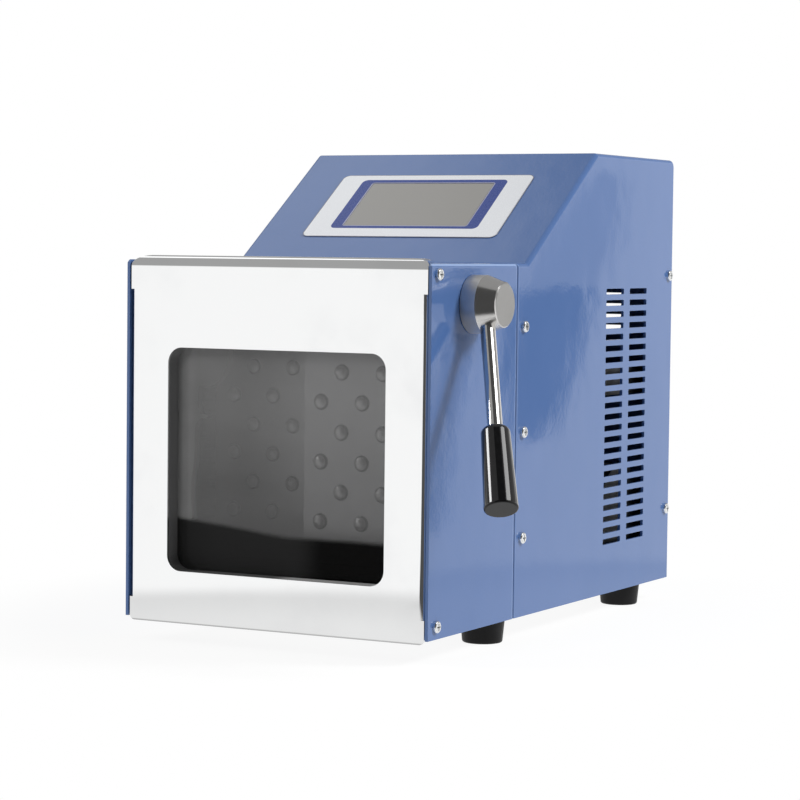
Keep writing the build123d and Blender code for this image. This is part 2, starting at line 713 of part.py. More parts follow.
def window_pane():
    """Tinted pane, lapped behind the frame."""
    half = WINDOW_W / 2 + PANE_LAP
    return window_block(
        half, WINDOW_LOW_Z - PANE_LAP, WINDOW_TOP_Z + PANE_LAP, PANE_LAP, PANE_Y, PANE_Y + PANE_T
    )


def retainer_places():
    """X and z of the screws around the pane."""
    x = WINDOW_W / 2 + (PANE_LAP + FRAME_RIM) / 2
    low = WINDOW_LOW_Z - (PANE_LAP + FRAME_EDGE) / 2
    top = WINDOW_TOP_Z + (PANE_LAP + FRAME_EDGE) / 2
    middle = (low + top) / 2
    ends = [(s * x * 0.5, z) for s in (-1, 1) for z in (low, top)]
    sides = [(s * x, middle + t * (top - low) / 4) for s in (-1, 1) for t in (-1, 1)]
    return ends + sides


def pane_retainer():
    """Steel ring that holds the pane against the frame."""
    half = WINDOW_W / 2
    low, top = WINDOW_LOW_Z, WINDOW_TOP_Z
    outer = half + FRAME_RIM
    ring = window_block(outer, low - FRAME_EDGE, top + FRAME_EDGE, RETAINER_R, PANE_Y, RETAINER_Y)
    lap = PANE_LAP + PANE_PLAY
    ring -= window_block(half + lap, low - lap, top + lap, lap, PANE_Y - 1, PANE_Y + PANE_T)
    ring -= window_block(half + 1, low - 1, top + 1, WINDOW_R, PANE_Y - 1, RETAINER_Y + 1)
    for x, z in retainer_places():
        ring -= rod_y(RETAINER_SCREW_D, PANE_Y - 1, RETAINER_Y + 1, x, z)
        ring -= rod_y(RETAINER_HEAD_D, RETAINER_Y - RETAINER_T, RETAINER_Y + 1, x, z)
    return ring


def retainer_screws():
    """Flush screws around the pane."""
    screws = []
    for x, z in retainer_places():
        seat = RETAINER_Y - RETAINER_T
        head = rod_y(RETAINER_HEAD_D, seat, RETAINER_Y, x, z)
        screws.append(head + rod_y(RETAINER_SCREW_D, RETAINER_Y - RETAINER_SCREW_L, seat, x, z))
    return screws


def hinge_brackets():
    """Brackets behind the door's lower corners, with the eyes of the hinge."""
    x1 = INNER - HINGE_INSET
    x0 = x1 - HINGE_T
    foot_y = DOOR_BACK_Y + HINGE_FOOT_T
    foot = box(x1 - HINGE_FOOT_W, x1, DOOR_BACK_Y, foot_y, DOOR_SIDE_LOW_Z, HINGE_FOOT_TOP)
    web = box(x0, x1, DOOR_BACK_Y, HINGE_Y + HINGE_EYE_D / 2, HINGE_Z, HINGE_FOOT_TOP)
    eye = rod_x(HINGE_EYE_D, x0, x1, HINGE_Y, HINGE_Z)
    eye += rod_x(HINGE_BOSS_D, x1, INNER - HINGE_END_GAP, HINGE_Y, HINGE_Z)
    bracket = foot + web + eye
    bore = rod_x(HINGE_D + 2 * HINGE_PLAY, x0 - 1, INNER, HINGE_Y, HINGE_Z)
    return both_sides(bracket - bore)


def door_clamp_bar():
    """Bar behind the door that presses the bag's neck."""
    y1 = DOOR_BACK_Y + CLAMP_BAR_D
    return box(-CLAMP_W / 2, CLAMP_W / 2, DOOR_BACK_Y, y1, CLAMP_LOW_Z, CLAMP_LOW_Z + CLAMP_H)


def clamp_strip(y0, y1):
    """A rubber strip as long as the clamp bars and a little lower."""
    return slab(0, CLAMP_LOW_Z + CLAMP_H / 2, CLAMP_W, CLAMP_H - 2 * CLAMP_RUBBER_INSET, y0, y1)


def door_clamp_rubber():
    """Rubber strip on the door's clamp bar."""
    y0 = DOOR_BACK_Y + CLAMP_BAR_D
    return clamp_strip(y0, y0 + CLAMP_RUBBER_T)


def striker_brackets():
    """Plates behind the door that carry the striker pins."""
    x0, x1 = STRIKER_X, STRIKER_X + STRIKER_PLATE_T
    z0, z1 = STRIKER_Z - STRIKER_PLATE_H / 2, STRIKER_Z + STRIKER_PLATE_H / 2
    plate = box(x0, x1, DOOR_BACK_Y, STRIKER_Y, z0, z1)
    plate += rod_x(STRIKER_PLATE_H, x0, x1, STRIKER_Y, STRIKER_Z)
    foot = box(x0, x0 + STRIKER_FOOT_W, DOOR_BACK_Y, DOOR_BACK_Y + STRIKER_PLATE_T, z0, z1)
    return both_sides(plate + foot - rod_x(STRIKER_D / 2, x0 - 1, x1 + 1, STRIKER_Y, STRIKER_Z))


def striker_pins():
    """Pins that the latch hooks catch."""
    x1 = STRIKER_X + STRIKER_PLATE_T
    pin = rod_x(STRIKER_D, x1, x1 + HOOK_T + 2 * LINK_GAP, STRIKER_Y, STRIKER_Z)
    return both_sides(pin + rod_x(STRIKER_D / 2, STRIKER_X, x1, STRIKER_Y, STRIKER_Z))


# chamber
def chamber_liner():
    """Polished duct around the paddles, open to the front."""
    liner = box(-LINER_HALF, LINER_HALF, LINER_FRONT_Y, BULKHEAD_Y, LINER_LOW_Z, LINER_TOP_Z)
    inner = LINER_HALF - LINER_T
    return liner - box(-inner, inner, 0, BODY_D, LINER_LOW_Z + LINER_T, LINER_TOP_Z - LINER_T)


def drip_tray():
    """Loose tray on the chamber's floor."""
    half = LINER_HALF - LINER_T - TRAY_PLAY
    y0, y1 = LINER_FRONT_Y + TRAY_PLAY, BULKHEAD_Y - TRAY_PLAY
    z0 = LINER_LOW_Z + LINER_T
    tray = box(-half, half, y0, y1, z0, z0 + TRAY_H)
    tray = fillet(tray.edges().filter_by(Axis.Z), TRAY_R)
    hollow = box(-half + TRAY_T, half - TRAY_T, y0 + TRAY_T, y1 - TRAY_T, z0 + TRAY_T, z0 + 2 * TRAY_H)
    hollow = fillet(hollow.edges().filter_by(Axis.Z), TRAY_R - TRAY_T)
    return tray - hollow


def bag_clamp_bar():
    """Bar on the liner's front edge that backs the bag's neck."""
    top = CLAMP_LOW_Z + CLAMP_H
    middle, height = (LINER_TOP_Z + top) / 2, top - LINER_TOP_Z
    return slab(0, middle, CLAMP_W, height, LINER_FRONT_Y, LINER_FRONT_Y + CLAMP_SEAT_D)


def bag_clamp_rubber():
    """Rubber strip facing the door's strip."""
    return clamp_strip(DOOR_BACK_Y + CLAMP_BAR_D + CLAMP_RUBBER_T + CLAMP_GAP, LINER_FRONT_Y)


def paddle(face_y):
    """The right paddle with its staggered domed studs, its face at face_y."""
    x0 = PADDLE_SPLIT / 2
    plate = box(x0, x0 + PADDLE_W, face_y, face_y + PADDLE_T, PADDLE_LOW_Z, PADDLE_LOW_Z + PADDLE_H)
    plate = fillet(plate.edges().filter_by(Axis.Y), PADDLE_EDGE_R)
    ball = ((STUD_D / 2) ** 2 + STUD_H ** 2) / (2 * STUD_H)
    for column in range(STUD_COLUMNS):
        for row in range(STUD_ROWS + 1):
            if (column + row) % 2:
                continue
            x = x0 + STUD_FIRST_X + column * STUD_PITCH_X
            z = PADDLE_LOW_Z + STUD_FIRST_Z + row * STUD_PITCH_Z
            if z + STUD_D / 2 > PADDLE_LOW_Z + PADDLE_H:
                continue
            dome = Pos(x, face_y - STUD_H + ball, z) * Sphere(ball)
            plate += dome & box(x - ball, x + ball, face_y - STUD_H, face_y + 1, z - ball, z + ball)
    return plate


def push_rods(face_y):
    """Two guide rods behind the right paddle."""
    back = face_y + PADDLE_T
    end = back + ROD_FREE + CROSS_D
    return [rod_y(ROD_D, back, end, PADDLE_X, z) for z in (ROD_LOW_Z, ROD_TOP_Z)]


def crosshead(face_y):
    """Block that joins the two rods, with the lug and the short wrist pin of the opened pivot."""
    y0 = face_y + PADDLE_T + ROD_FREE
    y1 = y0 + CROSS_D
    middle = (ROD_LOW_Z + ROD_TOP_Z) / 2
    height = ROD_TOP_Z - ROD_LOW_Z + ROD_D + 2 * CROSS_OVER
    block = slab(PADDLE_X, middle, CROSS_W, height, y0, y1)
    for z in (ROD_LOW_Z, ROD_TOP_Z):
        block -= rod_y(ROD_D, 0, BODY_D, PADDLE_X, z)
    wrist_y = y1 + LUG_L - LUG_H / 2
    lug = slab(PADDLE_X, WRIST_Z, CROSS_W, LUG_H, y1, wrist_y)
    lug += rod_x(LUG_H, PADDLE_X - CROSS_W / 2, PADDLE_X + CROSS_W / 2, wrist_y, WRIST_Z)
    pin = rod_x(WRIST_D, PADDLE_X - CROSS_W / 2 - WRIST_OVER, PADDLE_X, wrist_y, WRIST_Z)
    return block + lug + pin


def guide_bushes():
    """Flanged bushes in the bulkhead for the four rods."""
    bushes = []
    for x in (-PADDLE_X, PADDLE_X):
        for z in (ROD_LOW_Z, ROD_TOP_Z):
            bush = rod_y(BUSH_D, BULKHEAD_Y, BULKHEAD_Y + BUSH_L, x, z)
            y0 = BULKHEAD_Y + SHEET
            bush += rod_y(BUSH_FLANGE_D, y0, y0 + BUSH_FLANGE_T, x, z)
            bushes.append(bush - rod_y(ROD_D + 2 * ROD_PLAY, 0, BODY_D, x, z))
    return bushes


# crank drive
def crank_pin_place(side):
    """Y and z of a crank pin: the right one stands forward and up, the left one opposite."""
    return CRANK_Y - side * PADDLE_PHASE, CRANK_Z + side * LINK_RISE


def crankshaft():
    """Shaft with an end disc and a crank pin on each side, the pins half a turn apart."""
    disc_x = LINK_X - LINK_GAP
    shaft = rod_x(CRANK_SHAFT_D, -disc_x, disc_x, CRANK_Y, CRANK_Z)
    for side in (-1, 1):
        y, z = crank_pin_place(side)
        shaft += rod_x(CRANK_DISC_D, side * (disc_x - CRANK_DISC_T), side * disc_x, CRANK_Y, CRANK_Z)
        shaft += rod_x(CRANK_PIN_D, side * disc_x, side * (LINK_X + LINK_T + LINK_GAP), y, z)
    return shaft


def connecting_rod(side):
    """Link from the crank pin towards the wrist pin on one side."""
    y0, z0 = crank_pin_place(side)
    x0, x1 = side * LINK_X, side * (LINK_X + LINK_T)
    wrist_y = y0 - LINK_RUN
    link = rod_x(LINK_EYE_D, x0, x1, y0, z0) + rod_x(LUG_H, x0, x1, wrist_y, WRIST_Z)
    tilt = math.degrees(math.atan2(z0 - WRIST_Z, LINK_RUN))
    bar = Box(LINK_T, LINK_L, LINK_BAR_H)
    link += Pos((x0 + x1) / 2, (y0 + wrist_y) / 2, (z0 + WRIST_Z) / 2) * Rot(tilt, 0, 0) * bar
    return link - rod_x(CRANK_PIN_D + 2 * CRANK_PLAY, x0 - side, x1 + side, y0, z0)


def bearing_stands():
    """Two upright plates on the base that hold the crankshaft's bearings."""
    x0, x1 = STAND_X, STAND_X + STAND_T
    top = CRANK_Z + STAND_OVER
    plate = box(x0, x1, CRANK_Y - STAND_W / 2, CRANK_Y + STAND_W / 2, BASE_TOP, top)
    plate = fillet(plate.edges().filter_by(Axis.X).group_by(Axis.Z)[-1], STAND_W / 4)
    reach = STAND_FOOT_W / 2
    plate += box(x0, x1, CRANK_Y - reach, CRANK_Y + reach, BASE_TOP, BASE_TOP + STAND_FOOT_T)
    seat = (x0 + x1) / 2
    plate -= rod_x(BEARING_D, seat - BEARING_T / 2, x1 + 1, CRANK_Y, CRANK_Z)
    plate -= rod_x(CRANK_SHAFT_D + 2 * STAND_SHAFT_GAP, x0 - 1, x1, CRANK_Y, CRANK_Z)
    return both_sides(plate)


def shaft_bearings():
    """Bearings of the crankshaft, one in each stand."""
    seat = STAND_X + STAND_T / 2
    ring = rod_x(BEARING_D, seat - BEARING_T / 2, seat + BEARING_T / 2, CRANK_Y, CRANK_Z)
    return both_sides(ring - rod_x(CRANK_SHAFT_D + 2 * CRANK_PLAY, 0, HALF, CRANK_Y, CRANK_Z))


def pulley(d, y, z, bore):
    """A flat pulley with a rim at each side, in the machine's middle plane."""
    half = PULLEY_W / 2
    wheel = rod_x(d, -half, half, y, z)
    for side in (-1, 1):
        wheel += rod_x(d + 2 * PULLEY_RIM_H, side * (half - PULLEY_RIM_T), side * half, y, z)
    return wheel - rod_x(bore, -half - 1, half + 1, y, z)


def belt_loop(grow):
    """Outline around both pulleys, larger than their radii by grow."""
    rounds = [
        Pos(y, z) * Circle(d / 2 + grow).edge()
        for d, y, z in ((BIG_PULLEY_D, CRANK_Y, CRANK_Z), (SMALL_PULLEY_D, MOTOR_Y, MOTOR_Z))
    ]
    return extrude(Plane.YZ * make_hull(rounds), BELT_W / 2, both=True)


def drive_belt():
    """Closed flat belt from the motor pulley to the crank pulley."""
    return belt_loop(BELT_PLAY + BELT_T) - belt_loop(BELT_PLAY)


def motor():
    """Motor body with end caps, its shaft hole facing the belt."""
    x0, x1 = MOTOR_X, MOTOR_X + MOTOR_L
    body = rod_x(MOTOR_CAN_D, x0, x1, MOTOR_Y, MOTOR_Z)
    body += rod_x(MOTOR_D, x0, x0 + MOTOR_CAP_L, MOTOR_Y, MOTOR_Z)
    body += rod_x(MOTOR_D, x1 - MOTOR_CAP_L, x1, MOTOR_Y, MOTOR_Z)
    return body - rod_x(MOTOR_SHAFT_D + 2 * CRANK_PLAY, x0 - 1, x0 + MOTOR_BORE_L, MOTOR_Y, MOTOR_Z)


def motor_shaft():
    """Rotor shaft that reaches out of the motor and carries the small pulley."""
    return rod_x(MOTOR_SHAFT_D, -PULLEY_W / 2, MOTOR_X + MOTOR_BORE_L - 1, MOTOR_Y, MOTOR_Z)


def motor_bracket():
    """Upright plate with a foot that the motor is bolted to."""
    x1 = MOTOR_X
    x0 = x1 - MOTOR_BRACKET_T
    half = MOTOR_BRACKET_W / 2
    plate = box(x0, x1, MOTOR_Y - half, MOTOR_Y + half, BASE_TOP, BASE_TOP + MOTOR_BRACKET_H)
    foot_x = x0 - MOTOR_BRACKET_FOOT
    plate += box(foot_x, x1, MOTOR_Y - half, MOTOR_Y + half, BASE_TOP, BASE_TOP + MOTOR_BRACKET_T)
    return plate - rod_x(MOTOR_BOSS_D, x0 - 1, x1 + 1, MOTOR_Y, MOTOR_Z)


# lever and latch
def shaft_bushes():
    """Flanged bushes of the latch shaft in both side plates."""
    bush = rod_x(LEVER_BUSH_D, INNER - LEVER_BUSH_FLANGE_T, HALF, LEVER_Y, LEVER_Z)
    bush += rod_x(LEVER_BUSH_FLANGE_D, INNER - LEVER_BUSH_FLANGE_T, INNER, LEVER_Y, LEVER_Z)
    return both_sides(bush - rod_x(LEVER_SHAFT_D + 2 * LEVER_PLAY, 0, HALF + 1, LEVER_Y, LEVER_Z))


def latch_shaft():
    """Shaft across the machine that turns with the lever."""
    return rod_x(LEVER_SHAFT_D, -HALF + HUB_GAP, HALF + HUB_GAP + HUB_SHAFT_L, LEVER_Y, LEVER_Z)


def lever_frame():
    """Plane at the rod's foot whose z runs along the rod."""
    out, forward = math.radians(LEVER_OUT), math.radians(LEVER_FORWARD)
    along = (math.sin(out), -math.cos(out) * math.sin(forward), -math.cos(out) * math.cos(forward))
    return Plane(origin=(HALF + LEVER_AXIS_X, LEVER_Y, LEVER_Z), z_dir=along)


def lever_hub():
    """Turned hub with a straight base, a cone and a flat end."""
    x0 = HALF + HUB_GAP
    points = [(0, 0), (HUB_D / 2, 0), (HUB_D / 2, HUB_STRAIGHT), (HUB_END_D / 2, HUB_L), (0, HUB_L)]
    hub = revolve(Plane.XZ * make_face(Polyline(*points, close=True)), Axis.Z)
    hub = chamfer(hub.edges().filter_by(GeomType.CIRCLE).group_by(Axis.Z)[-1], HUB_CHAMFER)
    hub = Pos(x0, LEVER_Y, LEVER_Z) * Rot(0, 90, 0) * hub
    hub -= rod_x(LEVER_SHAFT_D, x0 - 1, x0 + HUB_SHAFT_L, LEVER_Y, LEVER_Z)
    return hub - lever_bar(LEVER_ROD_D)


def lever_bar(d):
    """Round bar along the rod's line, from its foot to its end."""
    length = LEVER_ROD_END - LEVER_ROD_START
    return lever_frame() * Pos(0, 0, LEVER_ROD_START + length / 2) * Cylinder(d / 2, length)


def lever_grip():
    """Tapered grip with a rounded shoulder and a flat end."""
    length = GRIP_END - GRIP_START
    points = [(0, 0), (GRIP_TOP_D / 2, 0), (GRIP_END_D / 2, length), (0, length)]
    grip = revolve(Plane.XZ * make_face(Polyline(*points, close=True)), Axis.Z)
    rings = grip.edges().filter_by(GeomType.CIRCLE).sort_by(Axis.Z)
    grip = fillet(rings[0], GRIP_SHOULDER)
    rings = grip.edges().filter_by(GeomType.CIRCLE).sort_by(Axis.Z)
    grip = fillet(rings[-1], GRIP_END_R)
    return lever_frame() * Pos(0, 0, GRIP_START) * grip - lever_bar(LEVER_ROD_D)


def latch_hooks():
    """Hooks on the shaft, drawn locked around the striker pins and then turned to the open latch."""
    x0, x1 = HOOK_X, HOOK_X + HOOK_T
    notch = STRIKER_D / 2 + HOOK_PLAY
    reach = HOOK_R + notch + HOOK_LIP
    half = HOOK_ARM_H / 2
    arm = box(x0, x1, -reach, 0, -half, half)
    lip = box(x0, x1, -reach, -HOOK_R - notch, -HOOK_LIP_DROP - notch, half)
    back = box(x0, x1, -reach, -HOOK_R + notch + HOOK_LIP, half, half + HOOK_LIP)
    hook = arm + lip + back
    hook -= box(x0 - 1, x1 + 1, -HOOK_R - notch, -HOOK_R + notch, -2 * HOOK_ARM_H, notch)
    hook += rod_x(COLLAR_D, x0, INNER - LEVER_BUSH_FLANGE_T - HUB_GAP, 0, 0)
    hook -= rod_x(LEVER_SHAFT_D, x0 - 1, HALF, 0, 0)
    return both_sides(Pos(0, LEVER_Y, LEVER_Z) * Rot(-HOOK_UP, 0, 0) * hook)


# electrics
def power_supply():
    """Closed supply box fixed to the rear panel."""
    x1 = INNER - SUPPLY_GAP
    return box(x1 - SUPPLY_W, x1, SUPPLY_Y, PANEL_Y, SUPPLY_Z, SUPPLY_Z + SUPPLY_H)


def board_bracket():
    """Upright sheet on the base that carries the control board."""
    x0 = -INNER + BOARD_GAP
    sheet = box(x0, x0 + BOARD_SHEET, BOARD_Y, BOARD_Y + BOARD_D, BASE_TOP, BOARD_TOP)
    return sheet + box(x0, x0 + BOARD_FOOT, BOARD_Y, BOARD_Y + BOARD_D, BASE_TOP, BASE_TOP + BOARD_SHEET)


def control_board():
    """Board with its posts, relays and capacitors."""
    x0 = -INNER + BOARD_GAP + BOARD_SHEET
    x1 = x0 + BOARD_POST
    y1, top = BOARD_Y + BOARD_D, BOARD_TOP
    board = box(x1, x1 + BOARD_T, BOARD_Y, y1, BOARD_LOW, top)
    for y in (BOARD_Y + BOARD_POST_D, y1 - BOARD_POST_D):
        for z in (BOARD_LOW + BOARD_POST_D, top - BOARD_POST_D):
            board += rod_x(BOARD_POST_D, x0, x1, y, z)
    face = x1 + BOARD_T
    step = BOARD_D / (BOARD_CHIPS + 1)
    for index in range(BOARD_CHIPS):
        y = BOARD_Y + (index + 1) * step
        relay_z = BOARD_LOW + step
        board += box(face, face + RELAY_T, y - step / 3, y + step / 3, relay_z, relay_z + step)
        board += rod_x(CAPACITOR_D, face, face + CAPACITOR_L, y, top - step)
    return board


def inlet_body(grow):
    """The inlet's body through the rear panel."""
    less = 2 * (INLET_RIM - grow)
    outer = PANEL_Y + SHEET
    return slab(INLET_X, INLET_Z, INLET_W - less, INLET_H - less, outer - INLET_DEEP, outer)


def fuse_drawer_block():
    """The fuse drawer's block above the socket."""
    outer = PANEL_Y + SHEET + INLET_FLANGE
    return slab(INLET_X, INLET_Z + DRAWER_RISE, DRAWER_W, DRAWER_H, outer - DRAWER_DEEP, outer)


def power_inlet():
    """Mains inlet with three blades in a recessed socket."""
    outer = PANEL_Y + SHEET + INLET_FLANGE
    flange = slab(INLET_X, INLET_Z, INLET_W, INLET_H, PANEL_Y + SHEET, outer)
    inlet = fillet(flange.edges().filter_by(Axis.Y), INLET_RIM) + inlet_body(0)
    z = INLET_Z - SOCKET_DROP
    socket = slab(INLET_X, z, SOCKET_W, SOCKET_H, outer - SOCKET_DEEP, outer + 1)
    socket = chamfer(socket.edges().filter_by(Axis.Y).group_by(Axis.Z)[-1], SOCKET_H / 4)
    inlet -= socket
    for dx, dz in ((-BLADE_PITCH, -BLADE_H / 2), (0, BLADE_H / 2), (BLADE_PITCH, -BLADE_H / 2)):
        inlet += slab(INLET_X + dx, z + dz, BLADE_T, BLADE_H, outer - SOCKET_DEEP, outer - BLADE_BACK)
    return inlet - fuse_drawer_block()


def fuse_drawer():
    """Drawer with a finger notch."""
    outer = PANEL_Y + SHEET + INLET_FLANGE
    z = INLET_Z + DRAWER_RISE + DRAWER_H / 2
    return fuse_drawer_block() - rod_y(DRAWER_H / 2, outer - 1, outer + 1, INLET_X, z)


def switch_body(grow):
    """The switch's body through the rear panel."""
    less = 2 * (SWITCH_RIM - grow)
    outer = PANEL_Y + SHEET
    return slab(SWITCH_X, SWITCH_Z, SWITCH_W - less, SWITCH_H - less, outer - SWITCH_DEEP, outer)


def switch_housing():
    """Frame and body around the rocker."""
    outer = PANEL_Y + SHEET + INLET_FLANGE
    flange = slab(SWITCH_X, SWITCH_Z, SWITCH_W, SWITCH_H, PANEL_Y + SHEET, outer)
    housing = fillet(flange.edges().filter_by(Axis.Y), INLET_FLANGE) + switch_body(0)
    room = ROCKER_W + 2 * ROCKER_PLAY
    pivot = PANEL_Y + SHEET - ROCKER_PIVOT
    housing -= slab(SWITCH_X, SWITCH_Z, room, ROCKER_ROOM_H, pivot - ROCKER_ROOM_H / 2, outer + 1)
    return housing + rod_x(ROCKER_PIN_D, SWITCH_X - room / 2, SWITCH_X + room / 2, pivot, SWITCH_Z)


def rocker():
    """Two-faced rocker, tilted to one side."""
    pivot = PANEL_Y + SHEET - ROCKER_PIVOT
    points = [
        (-ROCKER_ROOT, -ROCKER_ROOT_H / 2),
        (-ROCKER_ROOT, ROCKER_ROOT_H / 2),
        (ROCKER_END, ROCKER_H / 2),
        (ROCKER_VALLEY, 0),
        (ROCKER_END, -ROCKER_H / 2),
    ]
    roll = extrude(Plane.YZ * make_face(Polyline(*points, close=True)), ROCKER_W / 2, both=True)
    roll -= rod_x(ROCKER_PIN_D + 2 * ROCKER_PLAY, -ROCKER_W, ROCKER_W, 0, 0)
    return Pos(SWITCH_X, pivot, SWITCH_Z) * Rot(ROCKER_TILT, 0, 0) * roll


def rating_plate():
    """Bare plate on the rear panel."""
    y0 = PANEL_Y + SHEET
    plate = slab(PLATE_X, PLATE_Z, PLATE_W, PLATE_H, y0, y0 + PLATE_T)
    return fillet(plate.edges().filter_by(Axis.Y), INLET_RIM)


def write_all():
    """Write every node of the assembly."""
    right_face = PADDLE_MID_Y - PADDLE_PHASE
    left_face = PADDLE_MID_Y + PADDLE_PHASE
    makers = [
        base_plate, front_cover, top_rail, chamber_bulkhead, chamber_liner, drip_tray, bag_clamp_bar,
        bag_clamp_rubber, shaft_bushes, guide_bushes, rear_casing, rear_panel, console_label, touch_screen,
        display_module, bearing_stands, shaft_bearings, motor_bracket, motor, motor_shaft, power_supply,
        board_bracket, control_board, power_inlet, fuse_drawer, switch_housing, rocker, rating_plate, feet,
        foot_screws, front_screws, hinge_screws, casing_screws, drive_belt, door_panel, door_frame,
        window_pane, pane_retainer, retainer_screws, hinge_brackets, door_clamp_bar, door_clamp_rubber,
        striker_brackets, striker_pins, lever_hub, lever_grip, latch_shaft, latch_hooks, crankshaft,
    ]
    for maker in makers:
        save(maker.__name__, maker())
    save("lever_rod", lever_bar(LEVER_ROD_D))
    save("paddle_right", paddle(right_face))
    save("push_rods_right", push_rods(right_face))
    save("crosshead_right", crosshead(right_face))
    save("paddle_left", mirror(paddle(left_face), about=Plane.YZ))
    save("push_rods_left", [mirror(rod, about=Plane.YZ) for rod in push_rods(left_face)])
    save("crosshead_left", mirror(crosshead(left_face), about=Plane.YZ))
    save("connecting_rod_right", connecting_rod(1))
    save("connecting_rod_left", connecting_rod(-1))
    save("crank_pulley", pulley(BIG_PULLEY_D, CRANK_Y, CRANK_Z, CRANK_SHAFT_D))
    save("motor_pulley", pulley(SMALL_PULLEY_D, MOTOR_Y, MOTOR_Z, MOTOR_SHAFT_D))


os.makedirs("parts", exist_ok=True)
write_all()
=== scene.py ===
import math

import bpy
import numpy as np
from mathutils import Matrix, Vector


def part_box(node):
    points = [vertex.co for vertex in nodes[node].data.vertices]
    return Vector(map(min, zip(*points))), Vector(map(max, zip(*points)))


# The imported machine: metres, +X towards the lever side, +Y to the rear, +Z up, with the
# origin on the bench under the middle of the housing.
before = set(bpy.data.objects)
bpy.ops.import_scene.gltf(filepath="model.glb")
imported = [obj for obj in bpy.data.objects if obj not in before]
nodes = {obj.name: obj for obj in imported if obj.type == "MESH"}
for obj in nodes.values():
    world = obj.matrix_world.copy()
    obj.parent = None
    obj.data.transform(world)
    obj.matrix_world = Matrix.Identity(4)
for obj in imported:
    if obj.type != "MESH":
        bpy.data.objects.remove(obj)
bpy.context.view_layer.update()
MM = 0.001


# The camera stands in front of the machine and to its right, at three quarters of its
# height, and looks slightly down at it through a long lens.
CAMERA_PLACE = (0.83709, -1.59597, 0.25117)
CAMERA_TURN = math.radians(28.04)
CAMERA_DIP = math.radians(3.23)
CAMERA_ROLL = math.radians(0.65)
CAMERA_LENS, CAMERA_SENSOR = 118.04, 36.0


def camera_matrix(place, turn, dip, roll):
    """Columns right, up and back: the view direction turned left by turn from +Y and lowered by
    dip, then the picture turned by roll about it."""
    level = math.cos(dip)
    ahead = np.array([-math.sin(turn) * level, math.cos(turn) * level, -math.sin(dip)])
    right = np.array([math.cos(turn), math.sin(turn), 0.0])
    up = np.cross(right, ahead)
    turned = np.column_stack([
        math.cos(roll) * right + math.sin(roll) * up,
        math.cos(roll) * up - math.sin(roll) * right,
        -ahead,
    ])
    return Matrix.Translation(Vector(place)) @ Matrix(turned.tolist()).to_4x4()


camera_data = bpy.data.cameras.new("camera")
camera_data.lens = CAMERA_LENS
camera_data.sensor_width = CAMERA_SENSOR
camera = bpy.data.objects.new("camera", camera_data)
bpy.context.scene.collection.objects.link(camera)
camera.matrix_world = camera_matrix(CAMERA_PLACE, CAMERA_TURN, CAMERA_DIP, CAMERA_ROLL)
bpy.context.scene.camera = camera
bpy.context.scene.view_settings.view_transform = "Standard"


# The studio: a white sweep, a dim room behind the camera, a soft lamp to the front left and
# one on the lever side, two more that gloss doesn't show, and three dark cards behind the
# machine that only gloss shows.
class Value:
    """A shader socket. Each arithmetic operator adds one Math node to the socket's tree."""

    def __init__(self, tree, socket):
        self.tree = tree
        self.socket = socket

    def math(self, operation, *others):
        inputs = dict(enumerate((self, *others)))
        return self.tree.add("ShaderNodeMath", {"operation": operation}, inputs)

    def __add__(self, other):
        return self.math("ADD", other)

    __radd__ = __add__

    def __sub__(self, other):
        return self.math("SUBTRACT", other)

    def __rsub__(self, other):
        return self.math("MULTIPLY_ADD", -1.0, other)

    def __mul__(self, other):
        return self.math("MULTIPLY", other)

    __rmul__ = __mul__

    def __truediv__(self, other):
        return self.math("DIVIDE", other)

    def __lt__(self, other):
        return self.math("LESS_THAN", other)

    def __gt__(self, other):
        return self.math("GREATER_THAN", other)

    def least(self, other):
        return self.math("MINIMUM", other)

    def most(self, other):
        return self.math("MAXIMUM", other)

    def size(self):
        return self.math("ABSOLUTE")

    def root(self):
        return self.math("SQRT")

    def wave(self):
        return self.math("SINE")

    def ease(self, low, high, start=0.0, end=1.0):
        """From start at low to end at high, smoothly, and level beyond both."""
        values = {0: self, 1: low, 2: high, 3: start, 4: end}
        return self.tree.add("ShaderNodeMapRange", {"interpolation_type": "SMOOTHSTEP"}, values)


